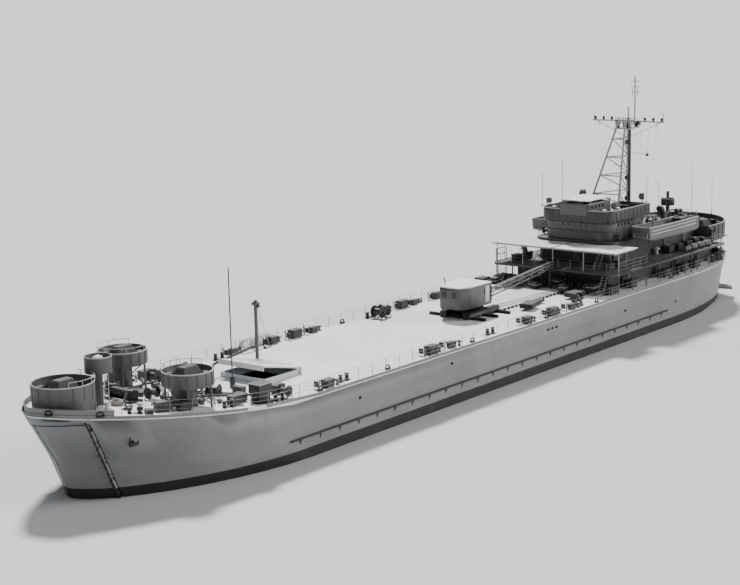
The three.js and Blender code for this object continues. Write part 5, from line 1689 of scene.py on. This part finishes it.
@dataclass(frozen=True)
class Houses:
    """Deckhouses: finishes, doors, round windows, ladders, rails and stowed gear.

    Lower and middle each hold half a house's width and the station of its front.
    """

    lower: Pair = (0.5403, -1.9497)
    middle: Pair = (0.4403, -2.2297)

    def openings(self, yard: Yard) -> None:
        """The doors and round windows of the two lower houses."""
        doors, lights = [], []
        for sign in SIGNS:
            turn = 0 if sign > 0 else 180
            lower, middle = sign * self.lower[0], sign * self.middle[0]
            doors += [at(x, lower, 0.775, turn, 0.92) for x in (-2.35, -3.0, -3.72)]
            lights += [at(x, lower, 0.895, turn) for x in (-2.12, -2.58, -2.78, -3.22, -3.48, -3.92)]
            doors += [at(x, middle, 0.985, turn) for x in (-2.48, -3.3)]
            lights += [at(x, middle, 1.12, turn) for x in (-2.32, -2.75, -2.95, -3.12, -3.55, -3.8)]
            lights += [at(self.lower[1], sign * y, 0.895, -RIGHT_ANGLE) for y in (0.18, 0.36)]
            lights += [at(self.middle[1], sign * y, 1.12, -RIGHT_ANGLE) for y in (0.18, 0.36)]
        doors += [at(self.lower[1], y, 0.775, -RIGHT_ANGLE, 0.92) for y in (0.02, -0.46)]
        doors.append(at(self.middle[1], 0.0, 0.985, -RIGHT_ANGLE))
        yard.place("house_doors", FITTINGS.door(), doors, MIDDLE)
        yard.place("house_light_rims", FITTINGS.port_light(), lights, MIDDLE)
        yard.place("house_light_glass", FITTINGS.port_glass(), lights, GLASS)

    def ladders(self, yard: Yard) -> None:
        """Sloping ladders between the decks."""
        flights = (
            ((-1.68, 0.6, LINES.deck), (-1.8, 0.6, BOAT_DECK), 0.06),
            ((-2.02, 0.36, BOAT_DECK), (-2.2, 0.36, BRIDGE_DECK), 0.06),
            ((-3.7, 0.46, BOAT_DECK), (-3.7, 0.475, BRIDGE_DECK), 0.05),
            ((-4.12, 0.4, 0.98), (-3.99, 0.4, BRIDGE_DECK), 0.06),
            ((-3.02, 0.3, BRIDGE_DECK), (-3.005, 0.3, 1.52), 0.05),
        )
        runs = []
        for s in SIGNS:
            for (x, y, z), (top_x, top_y, top_z), width in flights:
                runs.append(ladder("run", (x, s * y, z), (top_x, s * top_y, top_z), width))
        yard.fit(joined("house_ladders", runs), RAIL)

    def rails(self, yard: Yard) -> None:
        """Rails round the boat deck and the bridge deck."""
        rail = Rail(pitch=0.14)
        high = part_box("boat_deck")[1]
        for side in Side:
            run = [Vector((x, side.value * 0.726, high.z)) for x in (-4.08, -3.65)]
            yard.fit(rail.run(f"boat_deck_after_rail_{side.word}", run), WIRE)
        front = house_run(-2.4, high.x - 0.012, high.y - 0.014, 0.08, high.z)
        yard.fit(rail.run("boat_deck_forward_rail", front), WIRE)
        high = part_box("bridge_deck")[1]
        edge = ((-3.36, 0.473), (-3.975, 0.473), (-3.975, 0.05))
        for side in Side:
            run = [Vector((x, side.value * y, high.z)) for x, y in edge]
            yard.fit(rail.run(f"bridge_deck_rail_{side.word}", run), WIRE)
        front = house_run(-2.66, high.x - 0.012, high.y - 0.012, 0.11, high.z)
        yard.fit(Rail(0.095, 3, 0.12, 0.0026, 0.0016).run("bridge_front_rail", front), MIDDLE)

    def stowage(self, yard: Yard) -> None:
        """Lockers, crates, drums, vents, reels, canisters and bottles on and round the houses."""
        deck, boat, bridge = LINES.deck, BOAT_DECK, BRIDGE_DECK
        dark, vents, cowls, cans, reels, bottles = [], [], [], [], [], []
        for s in SIGNS:
            dark += [at(x, s * 0.63, deck, 90 * (x > -1.9), 1.1)
                     for x in (-1.78, -1.86, -2.25, -2.95, -3.35, -3.62, -4.2)]
            dark += [at(x, s * 0.55, boat, 0, 0.95) for x in (-1.95, -2.15, -3.2, -3.4, -3.6, -3.95)]
            dark += [at(x, s * 0.36, bridge, 20 * s, 1.0) for x in (-3.15, -3.45, -3.62, -3.85)]
            cans += [at(x, s * 0.68, boat) for x in (-3.35, -3.5, -3.65, -3.8)]
            vents += [at(x, s * 0.48, boat, 0, 1.1) for x in (-3.05, -3.28, -3.9)]
            vents.append(at(-1.84, s * 0.33, deck))
            cowls += [at(x, s * y, bridge, 0, size)
                      for x, y, size in ((-3.1, 0.2, 1.2), (-3.55, 0.28, 1.4), (-3.75, 0.4, 1.1))]
            cowls += [at(-2.05, s * 0.5, boat), at(-4.02, s * 0.62, boat, 180, 1.1)]
            reels += [at(-1.72, s * 0.45, deck, 90, 1.1), at(-3.75, s * 0.55, boat)]
            reels.append(at(-4.4, s * 0.5, deck, 0, 1.1))
            bottles += [at(x, s * 0.565, deck, 0, 1.3) for x in (-2.2, -2.24, -2.9, -3.3, -3.34, -3.8)]
        crates = [at(x, y, deck, turn, size) for x, y, turn, size in (
            (-1.72, 0.5, 8, 1.2), (-1.84, 0.44, 0, 1.1), (-1.62, 0.22, 20, 1), (-1.82, 0.03, 0, 1.3),
            (-1.6, -0.1, 70, 1), (-1.7, -0.36, 0, 1.2), (-1.55, -0.56, 10, 1.1), (-1.42, -0.62, 0, 1.3),
            (-1.3, -0.64, 4, 1))]
        drums = [at(x, y, deck) for x, y in (
            (-1.8, -0.12), (-1.8, 0.12), (-1.8, 0.2), (-1.8, 0.3), (-1.72, 0.16), (-1.7, -0.2))]
        yard.place("house_lockers", FITTINGS.locker(), dark, DARK)
        yard.place("deck_crates", box("crate", (0.11, 0.08, 0.06), (0, 0, 0.03), 0.004), crates, DARK)
        # The crates' pale lids are painted sunlight on their tops.
        yard.place("crate_lids_painted_sunlit", box("lid", (0.116, 0.086, 0.006), (0, 0, 0.062), 0.002), crates, PALE)
        yard.place("house_vents", FITTINGS.vent(), vents, PALE)
        yard.place("house_cowls", FITTINGS.cowl(), cowls, HOUSE)
        yard.place("raft_canisters", FITTINGS.canister(), cans, MIDDLE)
        yard.place("house_reels", FITTINGS.reel(), reels, DARK)
        yard.place("house_bottles", FITTINGS.bottle(), bottles, MIDDLE)
        yard.place("oil_drums", drum("barrel", 0.03, 0.088), drums, DARK)

    def build(self, yard: Yard) -> None:
        """Finishes the houses and fits their gear."""
        for node in ("lower_house", "middle_house", "aft_house"):
            yard.dress(node, HOUSE)
        yard.polish("boat_deck", HOUSE_DECK)
        yard.polish("bridge_deck", HOUSE_DECK)
        self.openings(yard)
        self.ladders(yard)
        self.rails(yard)
        self.stowage(yard)


@dataclass(frozen=True)
class Bridge:
    """The wheelhouse, the open bridge above it and the conn."""

    glass: float = 0.002

    def instruments(self, yard: Yard) -> None:
        """Signal lamps, compass stands, lockers, reels and stowed gear."""
        floor = BRIDGE_FLOOR
        lamps = [at(-2.32, s * 0.39, floor + 0.08, 15 * s, 1.1) for s in SIGNS]
        lamps += [at(-2.95, s * 0.36, floor + 0.08, 120 * s, 1.3) for s in SIGNS]
        yard.place("signal_lamps", FITTINGS.lamp(), lamps, MIDDLE)
        stand = spun("stand", [(0, 0), (0.02, 0), (0.014, 0.01), (0.011, 0.075), (0.024, 0.085), (0.024, 0.1),
                               (0.01, 0.112), (0, 0.114)], 14)
        stands = [at(x, y, floor) for x, y in ((-2.28, 0.3), (-2.28, -0.3), (-2.75, 0.0), (-2.5, 0.33))]
        yard.place("compass_stands", stand, stands, PALE)
        racks = [at(-2.85, s * 0.34, floor, 90, 1.1) for s in SIGNS]
        yard.place("flag_lockers", FITTINGS.locker(0.1, 0.06, 0.09), racks, DARK)
        spots = ((-2.72, 0.3, 0), (-2.6, 0.36, 0), (-2.93, 0.15, 90))
        stores = [at(x, s * y, floor, turn, 0.9) for x, y, turn in spots for s in SIGNS]
        yard.place("bridge_lockers", FITTINGS.locker(), stores, DARK)
        reels = [at(-3.3, s * 0.28, BRIDGE_DECK, 0, 1.1) for s in SIGNS]
        yard.place("bridge_wing_reels", FITTINGS.reel(), reels, DARK)

    def build(self, yard: Yard) -> None:
        """Finishes the bridge."""
        yard.polish("wheelhouse", MIDDLE)
        yard.polish("flying_bridge", HOUSE)
        yard.polish("conn", MIDDLE)
        panes = (("wheelhouse_glass", (-2.86, -2.206, 0.394, 0.144, 1.348), 0.042),
                 ("conn_glass", (-2.58, -2.192, 0.154, 0.044, 1.53), 0.034))
        for name, outline, height in panes:
            yard.fit(wall(name, house_run(*outline), height, self.glass), GLASS)
        rims = [tubes("rim", [house_run(-2.998, -2.172, 0.423, 0.148, 1.526)], 0.005),
                tubes("rim", [house_run(-2.618, -2.188, 0.158, 0.048, 1.583)], 0.004)]
        yard.fit(joined("bridge_rims", rims), RAIL)
        ribs = (("bridge_bulwark_ribs", (-2.98, -2.169, 0.4265, 0.15, 1.43), 0.085, 0.092, 0.0026),
                ("conn_seams", (-2.6, -2.1845, 0.1615, 0.05, 1.43), 0.08, 0.075, 0.0022))
        for name, outline, pitch, height, radius in ribs:
            yard.fit(tubes(name, uprights(house_run(*outline), pitch, height), radius, 0), HOUSE)
        yard.fit(box("bridge_front_panel", (0.006, 0.32, 0.115), (-2.167, 0, 1.468), 0.002), MIDDLE)
        visor = [(p.x, p.y) for p in house_run(-2.7, -2.188, 0.412, 0.16, 0)]
        yard.fit(slab("window_visor", visor, 1.39, 1.394), HOUSE)
        pipes = [[(x, s * 0.402, z) for z in (1.23, 1.34)] for x in (-2.35, -2.5, -2.65, -2.8) for s in SIGNS]
        pipes.append(house_run(-2.86, -2.19, 0.41, 0.155, 1.31))
        yard.fit(tubes("wheelhouse_pipes", pipes, 0.0024), DARK)
        self.instruments(yard)


@dataclass(frozen=True)
class MastWork:
    """The mast's aerials, fittings, wires and platform."""

    x: float = -3.28
    top: float = 2.33
    yard_z: float = 2.345
    topmast_x: float = -3.42
    whip_spots: tuple[tuple[float, float, float, float], ...] = (
        (-2.24, -0.42, BRIDGE_TOP, 0.36), (-2.62, -0.41, BRIDGE_TOP, 0.46), (-3.9, 0.44, BRIDGE_DECK, 0.62),
        (-3.9, -0.44, BRIDGE_DECK, 0.5), (-4.86, 0.2, 1.16, 0.42), (-2.95, 0.41, BRIDGE_TOP, 0.3),
        (-4.7, -0.4, 1.16, 0.36),
    )

    def aerials(self, yard: Yard) -> None:
        """The radar aerial on the platform and the one at the masthead."""
        half, depth, low, high = 0.11, 0.02, 2.335, 2.385

        def bowed(y: float, z: float) -> Vector:
            """A point on the curved aerial."""
            return Vector((-3.2 + depth * (1 - (y / half) ** 2), y, z))

        across = [half * (index / 5 - 1) for index in range(11)]
        bars = [[bowed(y, low), bowed(y, high)] for y in across]
        bars += [[bowed(y, z) for y in across] for z in (low, (low + high) / 2, high)]
        yard.fit(tubes("radar_aerial", bars, 0.0028), DARK)
        stand = copies("stand", drum("stand", 0.022, 0.05), [at(-3.21, 0, 2.2815)])
        feed = tubes("feed", [[(-3.21, 0, 2.33), (-3.16, 0, 2.33), (-3.15, 0, 2.36)]], 0.004)
        yard.fit(joined("radar_pedestal", [stand, feed]), MIDDLE)
        x = self.topmast_x
        rods = [[(x, -out, z), (x, out, z)] for z, out in ((2.76, 0.05), (2.7, 0.065), (2.64, 0.05))]
        rods += [[(x, y, 2.6), (x, y, 2.68)] for y in (-0.03, 0.03)]
        yard.fit(tubes("masthead_aerial", rods, 0.0028), DARK)

    def fittings(self, yard: Yard) -> None:
        """Lamps, arms and boxes on the yard and down the mast."""
        pot = spun("pot", [(0, 0), (0.009, 0), (0.009, 0.008), (0.014, 0.012), (0.014, 0.03), (0.009, 0.036),
                           (0, 0.04)], 12)
        pots = [at(self.x, s * y, self.yard_z + 0.006) for y in (0.2, 0.3, 0.4) for s in SIGNS]
        yard.place("yard_lamps", pot, pots, DARK)
        x, z = self.x, self.yard_z
        arms = [[(x, s * 0.42, z), (x, s * 0.42, z + 0.1)] for s in SIGNS]
        arms += [[(x, s * y, z - 0.003), (x, s * y, z - 0.05)] for y in (0.15, 0.35) for s in SIGNS]
        arms += [[(x, s * 0.4, z), (x, s * 0.02, z - 0.17)] for s in SIGNS]
        arms += [[(x, 0, 2.02), (x + 0.05, 0.26, 2.0), (x + 0.05, 0.26, 2.05)],
                 [(x, 0, 1.86), (x, -0.16, 1.87)]]
        yard.fit(tubes("mast_arms", arms, 0.0035), RAIL)
        boxes = [at(x + 0.03, 0.0, z, 0, 0.55) for z in (1.5, 1.72, 2.1)]
        boxes.append(at(x + 0.05, 0.26, 1.985, 0, 0.4))
        boxes += [at(a, s * 0.065, 2.2825, 0, 0.62) for a in (-3.34, -3.17) for s in SIGNS]
        boxes += [at(x, s * 0.12, self.yard_z - 0.04, 0, 0.6) for s in SIGNS]
        yard.place("mast_boxes", FITTINGS.locker(0.06, 0.05, 0.07), boxes, DARK)

    def wires(self, yard: Yard) -> None:
        """Stays and halyards."""
        x, z = self.x, self.yard_z
        runs = [[(x, s * 0.03, self.top), (-3.5, s * 0.47, 1.22)] for s in SIGNS]
        runs += [[(x, 0, self.top), (-3.93, s * 0.46, 1.22)] for s in SIGNS]
        runs += [[(x, s * y, z - 0.01), (-2.97, s * (0.3 + y * 0.25), 1.52)]
                 for y in (0.15, 0.25, 0.35) for s in SIGNS]
        runs += [[(self.topmast_x, 0, 2.72), (-4.86, 0.0, 1.17)], [(x, 0.2, z), (-2.5, 0.168, 1.62)]]
        yard.fit(tubes("rigging", runs, 0.0009, 0), WIRE)

    def whips(self, yard: Yard) -> None:
        """Whip aerials on their insulators."""
        rods = [[(x, y, z), (x, y, z + height)] for x, y, z, height in self.whip_spots]
        yard.fit(tubes("whip_aerials", rods, 0.0022), DARK)
        foot = spun("foot", [(0, 0), (0.012, 0), (0.012, 0.004), (0.007, 0.006), (0.01, 0.012),
                             (0.006, 0.016), (0.009, 0.022), (0.005, 0.028), (0, 0.03)], 12)
        yard.place("whip_insulators", foot, [at(x, y, z) for x, y, z, _ in self.whip_spots], PALE)

    def after_director(self, yard: Yard) -> None:
        """The after director's hood and rim."""
        yard.polish("aft_director", HOUSE)
        low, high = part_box("aft_director")
        x, y = (low.x + high.x) / 2, (low.y + high.y) / 2
        hood = spun("hood", [(0, 0), (0.02, 0), (0.026, 0.03), (0.03, 0.05), (0.018, 0.07), (0, 0.074)], 12)
        yard.place("aft_director_hood", hood, [at(x + 0.04, y, 1.392)], MIDDLE)
        yard.fit(tubes("aft_director_rim", [ring(0.074, 1.451, centre=(x, y))], 0.003, 1, True), RAIL)

    def build(self, yard: Yard) -> None:
        """Finishes the mast."""
        yard.polish("mast", RAIL)
        corners = ((-3.368, -0.088), (-3.138, -0.088), (-3.138, 0.088), (-3.368, 0.088), (-3.368, -0.088))
        outline = [Vector((x, y, 2.282)) for x, y in corners]
        yard.fit(Rail(0.08, 2, 0.06, 0.0018, 0.001).run("mast_platform_rail", outline), RAIL)
        trunk = [[(self.x - 0.004, 0.012, 1.43), (self.x - 0.004, 0.012, 2.262)]]
        yard.fit(tubes("mast_trunk", trunk, 0.0185, 2), HOUSE)
        x = self.x - 0.03
        yard.fit(ladder("mast_ladder", (x, 0, 1.22), (x, 0, 2.26), 0.036, 0.03, 0.002), RAIL)
        self.aerials(yard)
        self.fittings(yard)
        self.wires(yard)
        self.whips(yard)
        self.after_director(yard)


@dataclass(frozen=True)
class Boats:
    """The two landing boats and their davits."""

    x: float = -3.02
    y: float = 0.6
    keel: float = 1.19
    half: float = 0.105
    length: float = 1.08
    depth: float = 0.155

    def trim(self, side: Side) -> Piece:
        """The gunwale, rubbing strakes and ramp frame of a boat."""
        middle = side.value * self.y
        aft, bow, top = self.x - self.length / 2, self.x + self.length / 2, self.keel + self.depth
        runs = []
        for edge in SIGNS:
            y = middle + edge * (self.half - 0.002)
            runs.append([(aft + 0.01, y, top - 0.008), (self.x, y, top - 0.008),
                         (bow - 0.01, y, top + 0.001)])
            y = middle + edge * (self.half + 0.001)
            runs += [[(aft + 0.07, y, top - drop), (bow - 0.06, y, top - drop)] for drop in (0.04, 0.075)]
        corners = ((-1, self.keel + 0.05), (-1, top - 0.01), (1, top - 0.01), (1, self.keel + 0.05))
        ramp = [(bow - 0.014, middle + edge * (self.half - 0.03), z) for edge, z in corners]
        name = f"boat_trim_{side.word}"
        return joined(name, [tubes("trim", runs, 0.0042, 1), tubes("ramp", [ramp], 0.004, 1, True)])

    def inside(self, side: Side) -> Piece:
        """The steering stand, engine box, benches and wheel of a boat."""
        s, y, floor, aft = side.value, side.value * self.y, self.keel + 0.04, self.x - self.length / 2
        helm = y - s * 0.055
        parts = [box("engine_box", (0.17, 0.1, 0.08), (aft + 0.22, y, floor + 0.035), 0.006),
                 box("stand", (0.06, 0.05, 0.12), (aft + 0.1, helm, floor + 0.02), 0.005)]
        parts += [box("bench", (0.42, 0.035, 0.012), (self.x + 0.12, y + edge * 0.075, floor + 0.05), 0.002)
                  for edge in SIGNS]
        rim = [Vector((aft + 0.138, helm + p.x, floor + 0.13 + p.y)) for p in ring(0.022, steps=14)]
        return joined(f"boat_inside_{side.word}", [*parts, tubes("wheel", [rim], 0.003, 1, True)])

    def davits(self, yard: Yard, side: Side) -> None:
        """The sheaves and falls of a side's davits, and the winches beside them."""
        s, body = side.value, f"davits_{side.word}"
        yard.polish(body, RAIL, body)
        sheave = spun("sheave", [(0, -0.006), (0.018, -0.006), (0.02, -0.004), (0.015, 0), (0.02, 0.004),
                                 (0.018, 0.006), (0, 0.006)])
        places = [tipped(at(self.x + away, s * 0.583, 1.425), RIGHT_ANGLE, "Y") for away in (-0.252, 0.252)]
        yard.place(f"davit_sheaves_{side.word}", sheave, places, DARK, body)
        path = ((0.46, 1.26), (0.46, 1.365), (0.495, 1.412), (0.578, 1.44))
        falls = [[(self.x + away, s * y, z) for y, z in path] for away in (-0.256, 0.256)]
        yard.fit(tubes(f"davit_falls_{side.word}", falls, 0.0018), WIRE, body)
        winches = [at(self.x + away, s * 0.43, BRIDGE_DECK, 0, 0.8) for away in (-0.42, 0.68)]
        yard.place(f"boat_winches_{side.word}", FITTINGS.reel(), winches, DARK)

    def build(self, yard: Yard) -> None:
        """Finishes both boats and their davits."""
        for side in Side:
            body = f"boat_{side.word}"
            yard.polish(f"landing_boat_{side.word}", BOAT_GREY, body)
            yard.fit(self.trim(side), PALE, body)
            yard.fit(self.inside(side), DARK, body)
            spots = ((0.0, 0.01, 10), (0.14, -0.02, 60), (0.3, 0.02, 0))
            gear = [at(self.x + ahead, side.value * self.y + across, self.keel + 0.042, turn, 0.6)
                    for ahead, across, turn in spots]
            yard.place(f"boat_gear_{side.word}", FITTINGS.bottle(), gear, PALE, body)
            self.davits(yard, side)


@dataclass(frozen=True)
class Stern:
    """The stern platform and the gear on and under it."""

    floor: float = 1.045
    rim: float = 1.16
    skirt: float = 0.985
    half: float = 0.6
    centre: float = -4.2
    aft: float = -4.9
    forward: float = -4.0

    def run(self, z: float, grow: float = 0.0) -> list[Vector]:
        """The platform's outline from port to starboard round the stern."""
        points = [Vector((self.forward, self.half + grow, z))]
        reach = self.centre - self.aft + grow
        for spot in ring(1.0, z, 90, 270, 32):
            points.append(Vector((self.centre + reach * spot.x, (self.half + grow) * spot.y, z)))
        points.append(Vector((self.forward, -self.half - grow, z)))
        return points

    def fittings(self, yard: Yard) -> None:
        """Bitts, chocks, coils, vents and davits on the after deck."""
        z = LINES.deck
        bitts = [at(-4.55, s * 0.42, z, 25 * s) for s in SIGNS]
        bitts += [at(-4.05, s * 0.64, z, 5 * s) for s in SIGNS]
        yard.place("stern_bitts", FITTINGS.bitts(), bitts, BLACK)
        chocks = [at(-4.93, s * 0.12, z, 90, 0.8) for s in SIGNS]
        chocks += [at(-4.6, s * 0.47, z, -50 * s, 0.8) for s in SIGNS]
        yard.place("stern_chocks", FITTINGS.chock(), chocks, BLACK)
        coils = [at(-4.3, s * 0.58, z, 0, 1.1) for s in SIGNS] + [at(-4.74, 0.26, z, 0, 1.1)]
        yard.place("stern_coils", FITTINGS.coil(), coils, ROPE)
        vents = [at(x, s * y, z) for x, y in ((-4.2, 0.68), (-4.42, 0.58), (-4.66, 0.36)) for s in SIGNS]
        yard.place("stern_vents", FITTINGS.vent(), vents, PALE)
        davits = []
        for s in SIGNS:
            davits.append([(-3.35, s * 0.73, z), (-3.35, s * 0.73, z + 0.17), (-3.35, s * 0.735, z + 0.2),
                           (-3.35, s * 0.75, z + 0.205)])
            davits.append([(-4.5, s * 0.5, z), (-4.5, s * 0.5, z + 0.18), (-4.53, s * 0.52, z + 0.21),
                           (-4.58, s * 0.53, z + 0.21)])
        yard.fit(tubes("stern_davits", davits, 0.006, 2), DARK)

    def gallows(self, yard: Yard) -> None:
        """The goalpost frame at the starboard side of the house front."""
        y, z, top = -0.75, LINES.deck, 1.1
        bars = [[(x, y, z), (x, y, top)] for x in (-2.05, -1.87)]
        bars += [[(-2.05, y, level), (-1.87, y, level)] for level in (top, top - 0.06)]
        yard.fit(tubes("side_gallows", bars, 0.005, 1), DARK)

    def build(self, yard: Yard) -> None:
        """Finishes the stern."""
        yard.polish("stern_platform", HOUSE)
        yard.fit(tubes("stern_platform_rim", [self.run(self.rim, -0.003)], 0.005), RAIL)
        ribs = uprights(self.run(self.skirt, 0.001), 0.12, self.rim - self.skirt - 0.006)
        yard.fit(tubes("stern_platform_ribs", ribs, 0.0035, 0), HOUSE)
        inner = spaced(self.run(self.floor, -0.05), 0.17)[2:-2]
        places = [at(*foot, heading(way), 0.8) for foot, way in inner]
        yard.place("stern_lockers", FITTINGS.locker(0.09, 0.05, 0.08), places, DARK)
        self.fittings(yard)
        self.gallows(yard)
        low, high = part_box("stern_winch")
        rope = spun("rope", [(0, -0.06), (0.028, -0.06), (0.03, 0), (0.028, 0.06), (0, 0.06)])
        place = tipped(at((low.x + high.x) / 2, 0, LINES.deck + 0.058), RIGHT_ANGLE, "X")
        yard.place("stern_winch_rope", rope, [place], ROPE)


@dataclass(frozen=True)
class Stage:
    """The floor at the waterline, the soft lights and the camera."""

    waterline: float = 0.28
    reach: float = 1600.0
    azimuth: float = 128.69
    elevation: float = 10.80
    roll: float = -1.29
    focal_px: float = 1621.8
    width_px: float = 740.0
    sensor: float = 36.0
    eye: Triple = (11.9944, 8.6503, 3.8508)
    target: Triple = (0.0, 0.0, 0.6)
    lamps: tuple[tuple[str, Triple, float, float], ...] = (
        ("key", (-8, -8, 15), 5.6, 8), ("fill", (-12, 13, 8), 2.1, 35),
    )

    def floor(self) -> None:
        """A plain pale floor at the waterline."""
        deselect()
        bpy.ops.mesh.primitive_plane_add(size=self.reach, location=(0, 0, self.waterline))
        floor = bpy.context.active_object
        floor.name = "studio_floor"
        shader = Shader("studio_floor_paint")
        floor.data.materials.append(shader.finish((0.62, 0.63, 0.64, 1), 0.9))

    def lights(self) -> None:
        """A pale surround, one broad key light and a softer fill."""
        world = bpy.data.worlds.new("studio_air")
        bpy.context.scene.world = world
        world.use_nodes = True
        world.node_tree.nodes["Background"].inputs["Color"].default_value = (0.9, 0.92, 0.95, 1)
        world.node_tree.nodes["Background"].inputs["Strength"].default_value = 0.28
        for name, place, energy, breadth in self.lamps:
            deselect()
            bpy.ops.object.light_add(type="SUN", location=place)
            lamp = bpy.context.active_object
            lamp.name = f"{name}_light"
            lamp.data.energy = energy
            lamp.data.angle = math.radians(breadth)
            lamp.rotation_euler = (Vector(self.target) - Vector(place)).to_track_quat("-Z", "Y").to_euler()

    def camera(self) -> None:
        """The camera where the photograph's stood."""
        turn, rise, roll = (math.radians(value) for value in (self.azimuth, self.elevation, self.roll))
        back = Vector((math.sin(turn) * math.cos(rise), -math.cos(turn) * math.cos(rise), math.sin(rise)))
        right = (-back).cross(Vector((0, 0, 1))).normalized()
        above = right.cross(-back)
        right, above = (right * math.cos(roll) + above * math.sin(roll),
                        above * math.cos(roll) - right * math.sin(roll))
        deselect()
        bpy.ops.object.camera_add(location=self.eye)
        camera = bpy.context.active_object
        camera.name = "photo_camera"
        turned = Matrix((right, above, back)).transposed().to_4x4()
        camera.matrix_world = Matrix.Translation(self.eye) @ turned
        camera.data.sensor_width = self.sensor
        camera.data.lens = self.focal_px / self.width_px * self.sensor
        camera.data.clip_end = self.reach * 2
        bpy.context.scene.camera = camera

    def build(self) -> None:
        """Sets the stage."""
        self.floor()
        self.lights()
        self.camera()


def main() -> None:
    """Builds every sub-assembly in order."""
    logging.basicConfig(level=logging.INFO, format="%(message)s")
    Stage().build()
    yard = Yard()
    parts = (HullWork(), Ramp(), RunningGear(), ForwardTubs(), Covers(), Foredeck(), DeckEdges(), Crane(),
             Cloths(), Houses(), Bridge(), MastWork(), Boats(), Stern())
    for part in parts:
        part.build(yard)
        LOG.info("%s done", type(part).__name__)
    LOG.info("%d pieces aboard", yard.count)


if __name__ == "__main__":
    main()
